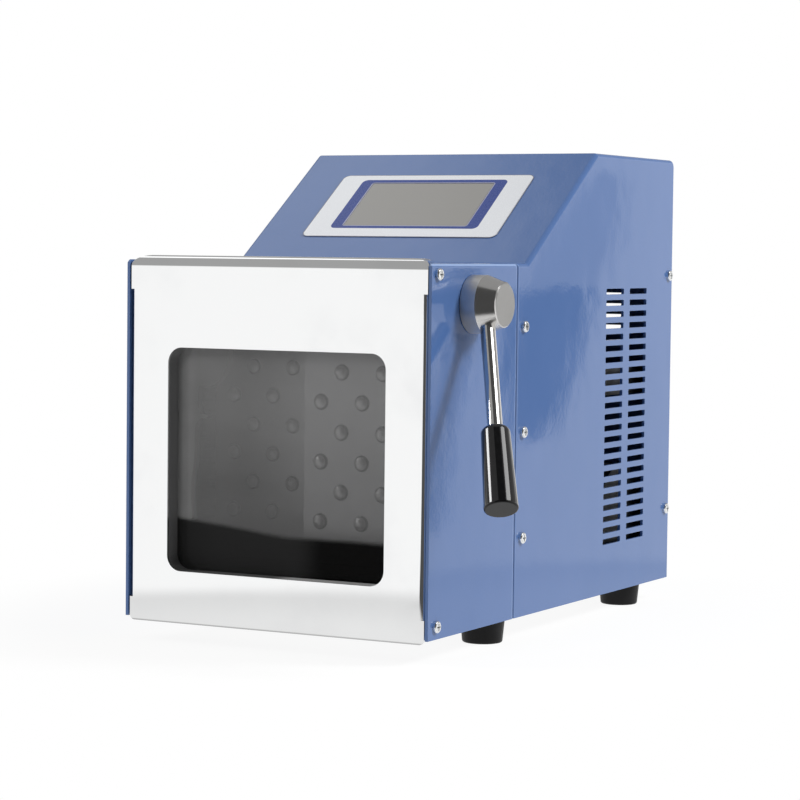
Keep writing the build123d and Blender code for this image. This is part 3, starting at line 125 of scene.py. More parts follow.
class Nodes:
    """One node tree, with the few ways in which this scene fills it."""

    def __init__(self, tree):
        self.tree = tree
        tree.nodes.clear()

    def add(self, kind, settings=None, inputs=None, output=0):
        """A node with its settings and then its sockets set; gives one of its outputs."""
        node = self.tree.nodes.new(kind)
        for key, value in (settings or {}).items():
            setattr(node, key, value)
        for key, value in (inputs or {}).items():
            if isinstance(value, Value):
                self.tree.links.new(value.socket, node.inputs[key])
            else:
                node.inputs[key].default_value = value
        return Value(self, node.outputs[output]) if node.outputs else None

    def mix(self, share, first, second):
        """A colour: first where share is 0, second where it is 1."""
        colours = [c if isinstance(c, Value) else (*c, 1.0) for c in (first, second)]
        inputs = {0: share, 6: colours[0], 7: colours[1]}
        return self.add("ShaderNodeMix", {"data_type": "RGBA"}, inputs, 2)

    def axes(self, vector, scale=1000.0):
        """The three parts of a vector, in millimetres where the vector is in metres."""
        split = [self.add("ShaderNodeSeparateXYZ", None, {0: vector}, i) for i in range(3)]
        return [part * scale for part in split]

    def place(self):
        """Object coordinates, in metres in the machine's own frame."""
        return self.add("ShaderNodeTexCoord", output=3)

    def along(self, vector, direction):
        """A vector's part along a direction."""
        inputs = {0: vector, 1: direction}
        return self.add("ShaderNodeVectorMath", {"operation": "DOT_PRODUCT"}, inputs, 1)

    def stretched(self, vector, scale):
        """Coordinates multiplied by one factor for each axis."""
        return self.add("ShaderNodeVectorMath", {"operation": "MULTIPLY"}, {0: vector, 1: scale})

    def noise(self, vector, scale, detail=2.0, rough=0.5):
        """Soft noise around 0.5, with scale cells to the metre."""
        inputs = {"Vector": vector, "Scale": scale, "Detail": detail, "Roughness": rough}
        return self.add("ShaderNodeTexNoise", None, inputs)

    def bump(self, height, depth, strength=1.0):
        """A normal for a height from 0 to 1, worth depth in metres."""
        inputs = {"Strength": strength, "Distance": depth, "Height": height}
        return self.add("ShaderNodeBump", None, inputs)


WHITE = (1.0, 1.0, 1.0)
FILL = 0.34              # even light from all around
DARK_FILL = 0.07         # share of it that comes from the dim room
ROOM = 0.37              # what gloss sees above the white sweep
SWEEP_LOW, SWEEP_HIGH = math.sin(math.radians(11.0)), math.sin(math.radians(18.0))
DIM_ROOM = 0.075         # and behind the camera
DIM_AZIMUTH = math.radians(36.0)
DIM_HALF_WIDTH = math.radians(41.0)
DIM_EDGE = math.radians(6.0)
DIM_TOP, DIM_TOP_EDGE = math.sin(math.radians(68.0)), 0.03
BACK_PANEL = 1.25        # a soft panel high behind the machine, away from the lever
BACK_AZIMUTH, BACK_HEIGHT = math.radians(-117.0), math.radians(51.0)
BACK_RADIUS, BACK_EDGE = math.radians(5.0), math.radians(6.0)


def bearing(azimuth, height):
    """The direction that lies azimuth from straight ahead of the door, to the lever side, and
    height above level."""
    flat = math.cos(height)
    return (math.sin(azimuth) * flat, -math.cos(azimuth) * flat, math.sin(height))


world = bpy.data.worlds.new("studio")
bpy.context.scene.world = world
world.use_nodes = True
room = Nodes(world.node_tree)
ray = [room.add("ShaderNodeLightPath", output=i) for i in (0, 3, 6)]
direction = room.add("ShaderNodeTexCoord", output=0)
height = room.axes(direction, 1.0)[2]
level = (1.0 - height * height).most(0.0001).root()
towards = room.along(direction, bearing(DIM_AZIMUTH, 0.0)) / level
dim = towards.ease(math.cos(DIM_HALF_WIDTH + DIM_EDGE), math.cos(DIM_HALF_WIDTH))
dim = dim * height.ease(DIM_TOP, DIM_TOP + DIM_TOP_EDGE, 1.0, 0.0)
panel = room.along(direction, bearing(BACK_AZIMUTH, BACK_HEIGHT))
panel = panel.ease(math.cos(BACK_RADIUS + BACK_EDGE), math.cos(BACK_RADIUS), 0.0, BACK_PANEL - ROOM)
gloss = height.ease(SWEEP_LOW, SWEEP_HIGH, 1.0, ROOM) + panel
gloss = gloss * (1.0 - dim) + dim * DIM_ROOM
seen = ray[0] + (ray[1].most(ray[2]) * (1.0 - ray[0])) * gloss
unseen = 1.0 - ray[0].most(ray[1]).most(ray[2])
strength = seen + unseen * (1.0 - dim * (1.0 - DARK_FILL)) * FILL
background = room.add("ShaderNodeBackground", None, {"Color": (*WHITE, 1.0), "Strength": strength})
room.add("ShaderNodeOutputWorld", None, {"Surface": background})

FLOOR_REACH, FLOOR_POINTS = 9.0, 13
FLOOR_ACROSS = 1.7       # how much narrower the near floor is across the machine
FLOOR_NEAR = 0.26        # metres from the machine's middle: shadowed floor up to here
FLOOR_FAR = 0.46         # and evenly white from here on
FLOOR_GLOW = 0.90        # share of the floor's white that no shadow reaches
FLOOR_BOUNCE = 0.60      # light that it throws back on everything
FLOOR_DARK_FROM, FLOOR_DARK_TO = 0.40, 0.50
FLOOR_DARK_SHARE = 0.6   # of the light thrown back that the dim side lacks
FLOOR_GREY = (0.12, 0.12, 0.12)      # what catches the machine's shadow
GREY_BENCH = 0.77        # what gloss sees of the floor right before the door
BENCH_FROM, BENCH_TO = 0.44, 0.53


def flat_grid(name, reach, count):
    """A level grid on the bench: x and y run evenly from -reach to reach."""
    u, v = np.meshgrid(np.linspace(-reach, reach, count), np.linspace(-reach, reach, count))
    points = np.column_stack([u.ravel(), v.ravel(), np.zeros(u.size)])
    first = (np.arange(count - 1)[:, None] * count + np.arange(count - 1)).ravel()
    faces = np.column_stack([first, first + 1, first + count + 1, first + count])
    mesh = bpy.data.meshes.new(name)
    mesh.from_pydata(points, [], faces.tolist())
    piece = bpy.data.objects.new(name, mesh)
    bpy.context.scene.collection.objects.link(piece)
    return piece


floor = flat_grid("floor", FLOOR_REACH, FLOOR_POINTS)
floor_material = bpy.data.materials.new("white_sweep")
floor_material.use_nodes = True
sweep_nodes = Nodes(floor_material.node_tree)
fx, fy, _ = sweep_nodes.axes(sweep_nodes.place(), 1.0)
reach = (fx * fx * FLOOR_ACROSS + fy * fy).root()
near = reach.ease(FLOOR_NEAR, FLOOR_FAR, 1.0, 0.0)
ahead = (fx * math.sin(DIM_AZIMUTH) - fy * math.cos(DIM_AZIMUTH)) / reach.most(0.001)
unlit = ahead.ease(math.cos(DIM_HALF_WIDTH), math.cos(DIM_HALF_WIDTH - DIM_EDGE))
unlit = unlit * reach.ease(FLOOR_DARK_FROM, FLOOR_DARK_TO)
is_camera, is_glossy = (sweep_nodes.add("ShaderNodeLightPath", output=i) for i in (0, 3))
mirrored = reach.ease(BENCH_FROM, BENCH_TO, GREY_BENCH, 1.0)
mirrored = mirrored * (1.0 - unlit * (1.0 - DIM_ROOM))
glow = is_camera * (1.0 - near * (1.0 - FLOOR_GLOW))
bounce = (1.0 - unlit * FLOOR_DARK_SHARE) * FLOOR_BOUNCE
glow = glow + (1.0 - is_camera) * (is_glossy * mirrored + (1.0 - is_glossy) * bounce)
lit = sweep_nodes.add("ShaderNodeBsdfDiffuse", None, {"Color": (*FLOOR_GREY, 1.0)})
glowing = sweep_nodes.add("ShaderNodeEmission", None, {"Color": (*WHITE, 1.0), "Strength": glow})
both = sweep_nodes.add("ShaderNodeAddShader", None, {0: lit, 1: glowing})
floor_shader = sweep_nodes.add("ShaderNodeMixShader", None, {0: near, 1: glowing, 2: both})
sweep_nodes.add("ShaderNodeOutputMaterial", None, {"Surface": floor_shader})
floor.data.materials.append(floor_material)


def soft_lamp(name, azimuth, height, distance, size, power, mirrored=True):
    """A rectangular soft box, size wide and high, that points at the machine. Gloss shows it
    only where mirrored is true."""
    light = bpy.data.lights.new(name, "AREA")
    light.shape = "RECTANGLE"
    light.size, light.size_y = size
    light.energy = power
    lamp = bpy.data.objects.new(name, light)
    bpy.context.scene.collection.objects.link(lamp)
    way = Vector(bearing(math.radians(azimuth), math.radians(height)))
    lamp.location = Vector(LAMP_TARGET) + way * distance
    lamp.rotation_euler = (-way).to_track_quat("-Z", "Y").to_euler()
    lamp.visible_camera = False
    lamp.visible_glossy = mirrored


LAMP_TARGET = (0.16, -0.20, 0.12)      # the lever's grip
soft_lamp("front_left_lamp", -67.0, 34.0, 3.6, (0.8, 0.9), 24.0)
soft_lamp("front_fill", -15.0, 28.0, 3.6, (1.2, 1.2), 18.0, mirrored=False)
soft_lamp("lever_side_lamp", 106.0, 49.0, 3.2, (1.5, 0.9), 19.0)
soft_lamp("side_key", 120.0, 36.0, 2.6, (0.6, 0.6), 40.0, mirrored=False)

FLAG_GLOW = 0.13
GAUZE_GLOW = 0.62        # of the thin upper card
FLAG_Y = 0.45            # how far behind the machine's middle the cards stand
FLAG_CASING = (          # x and z of its corners; it darkens the rear section's side
    (0.373, 0.210), (0.364, 0.218), (0.355, 0.220), (0.318, 0.223), (0.287, 0.223), (0.292, 0.196),
    (0.301, 0.160), (0.311, 0.126), (0.321, 0.108), (0.331, 0.094), (0.344, 0.084), (0.350, 0.088),
    (0.363, 0.092), (0.370, 0.104), (0.373, 0.148),
)
FLAG_UPPER = (           # it softens the casing's card upwards
    (0.355, 0.221), (0.334, 0.262), (0.309, 0.298), (0.286, 0.322), (0.270, 0.322), (0.262, 0.310),
    (0.264, 0.262), (0.279, 0.234), (0.287, 0.224), (0.318, 0.224),
)
FLAG_FRONT = (           # it darkens the front section's side around the lever
    (0.436, 0.227), (0.424, 0.237), (0.399, 0.238), (0.398, 0.191), (0.402, 0.171), (0.409, 0.155),
    (0.416, 0.135), (0.422, 0.104), (0.426, 0.082), (0.429, 0.051), (0.433, 0.020), (0.441, 0.002),
    (0.455, 0.002), (0.451, 0.032), (0.444, 0.072), (0.441, 0.103), (0.435, 0.134), (0.428, 0.165),
    (0.423, 0.176), (0.432, 0.190),
)


def flag(name, outline, glow):
    """An upright card with the given outline in x and z and a dim glow, seen only by gloss."""
    mesh = bpy.data.meshes.new(name)
    mesh.from_pydata([(x, FLAG_Y, z) for x, z in outline], [], [tuple(range(len(outline)))])
    card = bpy.data.objects.new(name, mesh)
    bpy.context.scene.collection.objects.link(card)
    for ray_kind in ("camera", "diffuse", "transmission", "shadow", "volume_scatter"):
        setattr(card, "visible_" + ray_kind, False)      # glossy stays
    cloth = bpy.data.materials.new(name)
    cloth.use_nodes = True
    weave = Nodes(cloth.node_tree)
    dusk = weave.add("ShaderNodeEmission", None, {"Color": (*WHITE, 1.0), "Strength": glow})
    weave.add("ShaderNodeOutputMaterial", None, {"Surface": dusk})
    card.data.materials.append(cloth)
    return card


flag("flag_casing", FLAG_CASING, FLAG_GLOW)
flag("flag_upper", FLAG_UPPER, GAUZE_GLOW)
flag("flag_front", FLAG_FRONT, FLAG_GLOW)


# The covers: front section, rear section and rear panel, bent from steel sheet and coated
# with a glossy blue powder paint that has a fine orange-peel surface.
PAINT_BLUE = (0.098, 0.191, 0.446)
PAINT_DEEP = (0.091, 0.183, 0.432)
PAINT_EDGE_HIGHLIGHT = (0.33, 0.47, 0.78)      # a painted highlight on the covers' folds and seam, where light catches them
PEEL_SCALE, PEEL_DEPTH = 420.0, 0.00006
COVER_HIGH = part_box("front_cover")[1] / MM
HIGHLIGHT_SIDE, HIGHLIGHT_TOP = 1.7, 2.0         # widths of the painted highlight beside and above the fold


class Finish(Nodes):
    """A surface material. surface() closes it and gives the material."""

    def __init__(self, name):
        self.material = bpy.data.materials.new(name)
        self.material.use_nodes = True
        super().__init__(self.material.node_tree)

    def surface(self, colour, **inputs):
        """A Principled surface; names of its sockets have _ for a space."""
        sockets = {"Base Color": colour if isinstance(colour, Value) else (*colour, 1.0)}
        sockets.update({key.replace("_", " "): value for key, value in inputs.items()})
        shader = self.add("ShaderNodeBsdfPrincipled", None, sockets)
        self.add("ShaderNodeOutputMaterial", None, {"Surface": shader})
        return self.material


def dress(material, *names):
    """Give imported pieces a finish."""
    for name in names:
        slots = nodes[name].data.materials
        for index in range(len(slots)):
            slots[index] = material


def blue_paint():
    """Glossy powder paint: soft colour clouds, orange peel, a faint satin mottling, and a painted
    highlight along the front section's folds and the seam behind it."""
    paint = Finish("blue_powder_paint")
    spot = paint.place()
    clouds = paint.noise(spot, 14.0, 3.0)
    peel = paint.noise(spot, PEEL_SCALE, 2.0)
    ripple = paint.noise(spot, 38.0, 1.0)
    x, y, z = paint.axes(spot)
    # painted highlight: lighter paint along the side's top fold and on both sides of the seam
    beside = (x.size() - (COVER_HIGH.x - HIGHLIGHT_SIDE)).ease(0.0, 0.5)
    below = ((z - (COVER_HIGH.z - HIGHLIGHT_TOP)) * (y < COVER_HIGH.y)).ease(0.0, 0.6)
    seam = (y - COVER_HIGH.y).size().ease(2.0, 3.0, 0.25, 0.0)
    colour = paint.mix(clouds.ease(0.3, 0.7), PAINT_DEEP, PAINT_BLUE)
    return paint.surface(
        paint.mix((beside * below).most(seam), colour, PAINT_EDGE_HIGHLIGHT),
        Roughness=paint.noise(spot, 90.0).ease(0.2, 0.8, 0.045, 0.075),
        Coat_Weight=0.10,
        Coat_Roughness=0.08,
        Normal=paint.bump(peel * 0.75 + ripple * 4.0, PEEL_DEPTH),
    )


dress(blue_paint(), "front_cover", "rear_casing", "rear_panel")


# The door: a sheet of mirror-polished stainless steel, bent back at the top and the sides,
# with very faint polishing lines and a trace of handling.
STAINLESS = (0.92, 0.925, 0.925)
STAINLESS_HANDLED = (0.86, 0.865, 0.87)
# painted shade: a dark line along the door sheet's foot
DOOR_FOOT_SHADE = (0.50, 0.50, 0.50)
DOOR_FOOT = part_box("door_panel")[0].z / MM


def mirror_sheet():
    """Polished sheet: long fine lines in the roughness, a barely visible waviness and a painted
    dark line of shade along its foot."""
    steel = Finish("mirror_stainless")
    spot = steel.place()
    lines = steel.noise(steel.stretched(spot, (30.0, 30.0, 2600.0)), 1.0, 2.0)
    smears = steel.noise(spot, 11.0, 4.0, 0.6)
    waves = steel.noise(spot, 6.0, 1.0)
    foot_shade = steel.axes(spot)[2].ease(DOOR_FOOT + 0.3, DOOR_FOOT + 1.3, 1.0, 0.0)
    polished = steel.mix(smears.ease(0.45, 0.75), STAINLESS, STAINLESS_HANDLED)
    return steel.surface(
        steel.mix(foot_shade, polished, DOOR_FOOT_SHADE),
        Metallic=1.0,
        Roughness=lines.ease(0.3, 0.7, 0.035, 0.06) + smears.ease(0.5, 0.8, 0.0, 0.03),
        Normal=steel.bump(waves, 0.0004, 0.25),
    )


dress(mirror_sheet(), "door_panel")


# The window: a satin black frame behind the door sheet, with bare metal where its sill is
# worn, painted pale there also as light on the sill, and a smoked acrylic pane lapped behind
# the frame, with fine dust on it that is also a painted reflection, over a band of painted shade.
FRAME_BLACK = (0.21, 0.21, 0.212)
# bare metal, and a painted highlight for the light on the worn sill
SILL_BARE_AND_LIT = (0.90, 0.90, 0.90)
SILL_RISE = 12.0         # of the worn sill's top above the frame's foot
SILL_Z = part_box("door_frame")[0].z / MM + SILL_RISE
HAZE_FROM_Z = 70.3       # the haze's lower edge in millimetres, lever side
HAZE_RISE = 0.12         # and its slope on the other side
PANE_SIDE = -75.5        # where the pane meets the frame, away from the lever
PAINTED_LIGHT_WIDTH = 14.0   # of the painted light along it, over the frame's shadow
# the dust is also a painted reflection: paler up high, darker low down
DUST_AND_REFLECTION_LOW = (0.19, 0.19, 0.19)        # just above the haze's lower edge
DUST_AND_REFLECTION_HIGH = (0.42, 0.42, 0.42)
FRAME_PAINTED_LIGHT = (0.64, 0.64, 0.64)      # painted light along the frame, over its shadow on the pane
SHADE_BAND_GREY = (0.028, 0.028, 0.028)   # the band of painted shade, away from the lever
SHADE_BAND_BLACK = (0.003, 0.003, 0.003)  # and on the lever side


def window_frame():
    """Satin black frame; the sill that bags slide over is worn to bare metal on the lever side,
    and painted pale there as a painted highlight as well.
    """
    black = Finish("frame_black")
    spot = black.place()
    x, _, z = black.axes(spot)
    fine = black.noise(spot, 1500.0, 2.0)
    # painted highlight: the worn sill's pale colour also stands for the light that falls on it
    worn_and_lit = (x + fine * 8.0).ease(0.0, 14.0) * z.ease(SILL_Z, SILL_Z + 1.5, 1.0, 0.0)
    return black.surface(
        black.mix(worn_and_lit, FRAME_BLACK, SILL_BARE_AND_LIT),
        Roughness=fine.ease(0.2, 0.8, 0.26, 0.36),
        Normal=black.bump(fine, 0.00004, 0.6),
    )


def tinted_pane():
    """Smoked acrylic: fine dust, which is also a painted reflection, paler upwards, down to the
    paddles' lower edge, painted light along the frame over its shadow, and a clean band of
    painted shade below it that rises away from the lever."""
    glass = Finish("smoked_pane")
    spot = glass.place()
    x, _, z = glass.axes(spot)
    wiping = glass.noise(glass.stretched(spot, (9.0, 1.0, 26.0)), 1.0, 4.0)
    edge = HAZE_FROM_Z + (x * -HAZE_RISE).most(0.0)
    dust_and_light_share = (z - edge + (wiping - 0.5) * 8.0).ease(-1.5, 2.5)
    # painted reflection: the dust grows paler upwards; painted light: more of it towards the frame
    dust_and_painted_light = (z + wiping * 40.0 - 20.0).ease(75.0, 195.0) + x.ease(-90.0, 10.0, 0.06, 0.0)
    dust_and_light_colour = glass.mix(dust_and_painted_light, DUST_AND_REFLECTION_LOW, DUST_AND_REFLECTION_HIGH)
    painted_light_by_frame = x.ease(PANE_SIDE, PANE_SIDE + PAINTED_LIGHT_WIDTH, 0.8, 0.0)
    dust_and_light_layer = glass.add("ShaderNodeBsdfPrincipled", None, {
        "Base Color": glass.mix(painted_light_by_frame, dust_and_light_colour, FRAME_PAINTED_LIGHT),
        "Roughness": wiping.ease(0.4, 0.75, 0.03, 0.07),
        # more opaque towards the frame, as part of the painted light there
        "Alpha": wiping.ease(0.3, 0.7, 0.38, 0.43) + x.ease(-60.0, -25.0, 0.09, 0.0),
    })
    painted_shade_layer = glass.add("ShaderNodeBsdfPrincipled", None, {
        "Base Color": glass.mix(x.ease(8.0, 30.0), SHADE_BAND_GREY, SHADE_BAND_BLACK),
        "Roughness": 0.03,
        "Alpha": 0.86,
        "IOR": 1.12,
    })
    both = glass.add("ShaderNodeMixShader", None, {0: dust_and_light_share, 1: painted_shade_layer, 2: dust_and_light_layer})
    glass.add("ShaderNodeOutputMaterial", None, {"Surface": both})
    return glass.material


dress(window_frame(), "door_frame")
dress(tinted_pane(), "window_pane")


# The inner sheets: base plate, chamber wall, top rail, brackets and the ring that clamps the
# pane, folded or cut from zinc-plated steel and left as rolled.
ZINC_DARK = (0.42, 0.43, 0.44)
ZINC_LIGHT = (0.60, 0.61, 0.62)


def plated_sheet():
    """Zinc-plated steel: crystalline patches of light and darker grey with rolling lines."""
    zinc = Finish("zinc_plate")
    spot = zinc.place()
    patch = zinc.add("ShaderNodeTexVoronoi", None, {"Vector": spot, "Scale": 120.0}, 1)
    tone = zinc.axes(patch, 1.0)[0]
    rolled = zinc.noise(zinc.stretched(spot, (900.0, 60.0, 60.0)), 1.0)
    return zinc.surface(
        zinc.mix(0.6 * tone + 0.4 * rolled, ZINC_DARK, ZINC_LIGHT),
        Metallic=1.0,
        Roughness=tone.ease(0.0, 1.0, 0.32, 0.45),
    )


dress(plated_sheet(), "pane_retainer", "hinge_brackets", "striker_brackets", "base_plate",
      "chamber_bulkhead", "top_rail", "motor_bracket", "board_bracket")


# The chamber: a duct of brushed stainless around the paddles with a loose drip tray, and two
# bars with rubber strips that hold the neck of the bag. The feet and the drive's belt are
# the same black rubber.
# the chamber's steel is darkened as painted shade inside the chamber
CHAMBER_STEEL_SHADED = (0.30, 0.30, 0.31)
BLACK_RUBBER = (0.005, 0.005, 0.0055)


def brushed(name, colour, roughness, grain):
    """Brushed metal: short scratches, finest along the axis where grain is highest, over faint
    clouds."""
    steel = Finish(name)
    spot = steel.place()
    scratch = steel.noise(steel.stretched(spot, grain), 1.0, 3.0, 0.6)
    cloud = steel.noise(spot, 16.0, 2.0)
    darker = tuple(c * 0.8 for c in colour)
    return steel.surface(
        steel.mix(0.6 * scratch + 0.4 * cloud, darker, colour),
        Metallic=1.0,
        Roughness=scratch.ease(0.25, 0.75, roughness - 0.06, roughness + 0.08),
        Normal=steel.bump(scratch, 0.00002, 0.5),
    )


def dark_moulding(name, colour, roughness, grain=1500.0, specular=0.5):
    """Black plastic or rubber with a fine grain."""
    plastic = Finish(name)
    spot = plastic.place()
    fine = plastic.noise(spot, grain, 2.0)
    patches = plastic.noise(spot, 45.0, 3.0)
    lighter = tuple(c * 1.35 + 0.004 for c in colour)
    return plastic.surface(
        plastic.mix(patches.ease(0.35, 0.7), colour, lighter),
        Roughness=fine.ease(0.2, 0.8, roughness - 0.05, roughness + 0.07),
        Specular_IOR_Level=specular,
        Normal=plastic.bump(fine, 0.00004, 0.6),
    )


dress(brushed("chamber_steel", CHAMBER_STEEL_SHADED, 0.30, (60.0, 60.0, 3000.0)),
      "chamber_liner", "drip_tray", "bag_clamp_bar", "door_clamp_bar")
dress(dark_moulding("black_rubber", BLACK_RUBBER, 0.45, 900.0, 0.22),
      "bag_clamp_rubber", "door_clamp_rubber", "feet", "drive_belt")


# The paddles: two cast plates with staggered domed studs, with a painted highlight on their
# tips and painted shade around their feet. They beat the bag in turn.
PLATE_GREY = (0.50, 0.50, 0.51)
PLATE_PALE = (0.58, 0.58, 0.59)
# painted shade around the studs' feet and a painted highlight on their tips
STUD_FOOT_SHADE = (0.16, 0.16, 0.16)
STUD_TIP_HIGHLIGHT = (0.74, 0.74, 0.74)
STUD_RISE = 3.5          # a stud's height in millimetres
HIGHLIGHT_FROM, HIGHLIGHT_TO = 1.2, 1.9    # how deep under its tip the painted highlight ends
FOOT_FROM, FOOT_TO = 1.5, 2.4        # and the painted shade begins


def studded(name):
    """Matt cast plate; depth from the studs' tips parts the painted highlight on the tips, the
    painted shade around the feet and the plate."""
    cast = Finish(name + "_steel")
    spot = cast.place()
    depth = cast.axes(spot)[1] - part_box(name)[0].y / MM
    fine = cast.noise(spot, 900.0, 3.0, 0.6)
    foot = depth.ease(FOOT_FROM, FOOT_TO) * (depth < STUD_RISE - 0.03)
    tip = depth.ease(HIGHLIGHT_FROM, HIGHLIGHT_TO, 1.0, 0.0)
    plate = cast.mix(fine, PLATE_GREY, PLATE_PALE)
    ringed = cast.mix(foot, plate, STUD_FOOT_SHADE)
    return cast.surface(
        cast.mix(tip, ringed, STUD_TIP_HIGHLIGHT),
        Metallic=1.0,
        Roughness=fine.ease(0.25, 0.75, 0.34, 0.48),
        Normal=cast.bump(fine, 0.00002, 0.5),
    )


for paddle in ("paddle_right", "paddle_left"):
    dress(studded(paddle), paddle)


# The drive and the latch: ground steel rods, shafts, pins and bearings, and bare aluminium
# crossheads, connecting rods, stands, pulleys and hooks, turned or milled from solid bar.
GROUND_STEEL = (0.55, 0.55, 0.56)
MILLED_ALUMINIUM = (0.62, 0.62, 0.63)
dress(brushed("ground_steel", GROUND_STEEL, 0.22, (2600.0, 60.0, 60.0)),
      "push_rods_right", "push_rods_left", "latch_shaft", "crankshaft", "motor_shaft",
      "striker_pins", "shaft_bearings")
dress(brushed("machined_aluminium", MILLED_ALUMINIUM, 0.34, (1400.0, 1400.0, 1400.0)),
      "crosshead_right", "crosshead_left", "connecting_rod_right", "connecting_rod_left",
      "bearing_stands", "crank_pulley", "motor_pulley", "latch_hooks")


# The lever: a turned aluminium hub on the latch shaft, a chromed rod screwed into it, and a
# black moulded grip with a dull sawn end.
HUB_LOW, HUB_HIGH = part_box("lever_hub")
LEVER_Y = (HUB_LOW.y + HUB_HIGH.y) / 2
LEVER_Z = (HUB_LOW.z + HUB_HIGH.z) / 2
HUB_END_X = HUB_HIGH.x / MM - 0.3
HUB_BASE_X = HUB_LOW.x / MM + 10.1   # where the hub's satin base ends
LEVER_OUT, LEVER_FORWARD = math.radians(18.0), math.radians(29.0)
LEVER_WAY = (
    math.sin(LEVER_OUT),
    -math.cos(LEVER_OUT) * math.sin(LEVER_FORWARD),
    -math.cos(LEVER_OUT) * math.cos(LEVER_FORWARD),
)
LEVER_FOOT = Vector((0.1195, LEVER_Y, LEVER_Z))    # where the rod's line leaves the hub's axis
GRIP_REACH = 0.1432      # from there to just short of the grip's flat end
HUB_BRIGHT = (0.70, 0.69, 0.68)
HUB_DULL = (0.40, 0.395, 0.385)      # its flat end
RINGS_OUT, RINGS_ALONG = 19.0, 23.0  # turning marks, radians to the millimetre
CHROME_DARK = (0.70, 0.69, 0.67)
CHROME_LIGHT = (0.82, 0.80, 0.77)
GRIP_BLACK = (0.0035, 0.0035, 0.004)
GRIP_MARKED = (0.008, 0.008, 0.009)


def turned_hub():
    """Turned aluminium: rings around the shaft's axis, a satin base and a duller flat end."""
    metal = Finish("turned_aluminium")
    x, y, z = metal.axes(metal.place())
    dy, dz = y - LEVER_Y / MM, z - LEVER_Z / MM
    radius = (dy * dy + dz * dz).root()
    rings = 0.5 * (radius * RINGS_OUT).wave() + 0.5 * (x * RINGS_ALONG).wave()
    end = x > HUB_END_X
    fine = metal.noise(metal.place(), 1800.0)
    tone = 0.8 * end + 0.2 * fine
    base = x < HUB_BASE_X
    return metal.surface(
        metal.mix(tone, HUB_BRIGHT, HUB_DULL),
        Metallic=1.0,
        Roughness=end * 0.22 + base * 0.26 + fine.ease(0.3, 0.7, 0.13, 0.20),
        Normal=metal.bump(rings, 0.000012, 0.6),
    )


def chrome_rod():
    """Chromed round bar with faint lengthwise streaks."""
    chrome = Finish("chrome")
    spot = chrome.place()
    streak = chrome.noise(chrome.stretched(spot, (500.0, 500.0, 8.0)), 1.0)
    return chrome.surface(
        chrome.mix(streak, CHROME_DARK, CHROME_LIGHT),
        Metallic=1.0,
        Roughness=streak.ease(0.3, 0.7, 0.05, 0.10),
    )


def moulded_grip():
    """Glossy black moulding, duller at its end."""
    black = Finish("grip_black")
    spot = black.place()
    marks = black.noise(spot, 300.0, 4.0)
    end = black.along(spot, LEVER_WAY) > LEVER_FOOT.dot(Vector(LEVER_WAY)) + GRIP_REACH
    return black.surface(
        black.mix(marks.ease(0.4, 0.8), GRIP_BLACK, GRIP_MARKED),
        Roughness=marks.ease(0.4, 0.8, 0.06, 0.11),
        Specular_IOR_Level=0.25,
        Coat_Weight=1.0 - end * 0.9,
        Coat_Roughness=0.03,
        Normal=black.bump(black.noise(spot, 60.0, 1.0), 0.0001, 0.3),
    )


dress(turned_hub(), "lever_hub")
dress(chrome_rod(), "lever_rod")
dress(moulded_grip(), "lever_grip")


# The console: a white foil stuck on the slope, printed with a blue frame around the glass of
# the touch panel, which lies in the foil's window just below its face.
LABEL_LOW, LABEL_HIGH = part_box("console_label")
SCREEN_LOW, SCREEN_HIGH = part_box("touch_screen")
SLOPE = math.atan2(LABEL_HIGH.z - LABEL_LOW.z, LABEL_HIGH.y - LABEL_LOW.y)
UP_SLOPE = (0.0, math.cos(SLOPE), math.sin(SLOPE))
SCREEN_MIDDLE = (SCREEN_LOW + SCREEN_HIGH) / 2
FRAME_HALF_W, FRAME_HALF_L, FRAME_CORNER = 56.5, 30.0, 4.0
FRAME_RISE = 0.3         # the blue frame's middle above the glass's middle
LABEL_HALF_W = (LABEL_HIGH.x - LABEL_LOW.x) / 2 / MM
GLASS_HALF_W = (SCREEN_HIGH.x - SCREEN_LOW.x) / 2 / MM
LABEL_HALF_L, LABEL_CORNER = 38.0, 5.0
GLASS_HALF_L, GLASS_CORNER = 25.8, 1.0
LABEL_MIDDLE = (LABEL_LOW + LABEL_HIGH) / 2
FOIL_WHITE, FOIL_WHITER = (0.91, 0.935, 0.975), (0.95, 0.97, 1.0)
FRAME_BLUE, FRAME_BLUER = (0.026, 0.062, 0.300), (0.034, 0.074, 0.330)
PALE_LINE = (0.40, 0.41, 0.55)
# painted shade along the foil's edge
LABEL_EDGE_SHADE = (0.05, 0.06, 0.12)
GLASS_GREY, GLASS_PALE = (0.31, 0.303, 0.285), (0.37, 0.36, 0.338)
WEAVE = 30.0             # pixel rows, radians to the millimetre


def rounded_box(u, v, half_u, half_v, corner):
    """Distance to a rounded rectangle's outline, negative inside: the length of what sticks out
    past the inner rectangle, plus the inner depth, less the corner's radius."""
    du = u.size() - (half_u - corner)
    dv = v.size() - (half_v - corner)
    outside = (du.most(0.0) * du.most(0.0) + dv.most(0.0) * dv.most(0.0)).root()
    return outside + du.most(dv).least(0.0) - corner


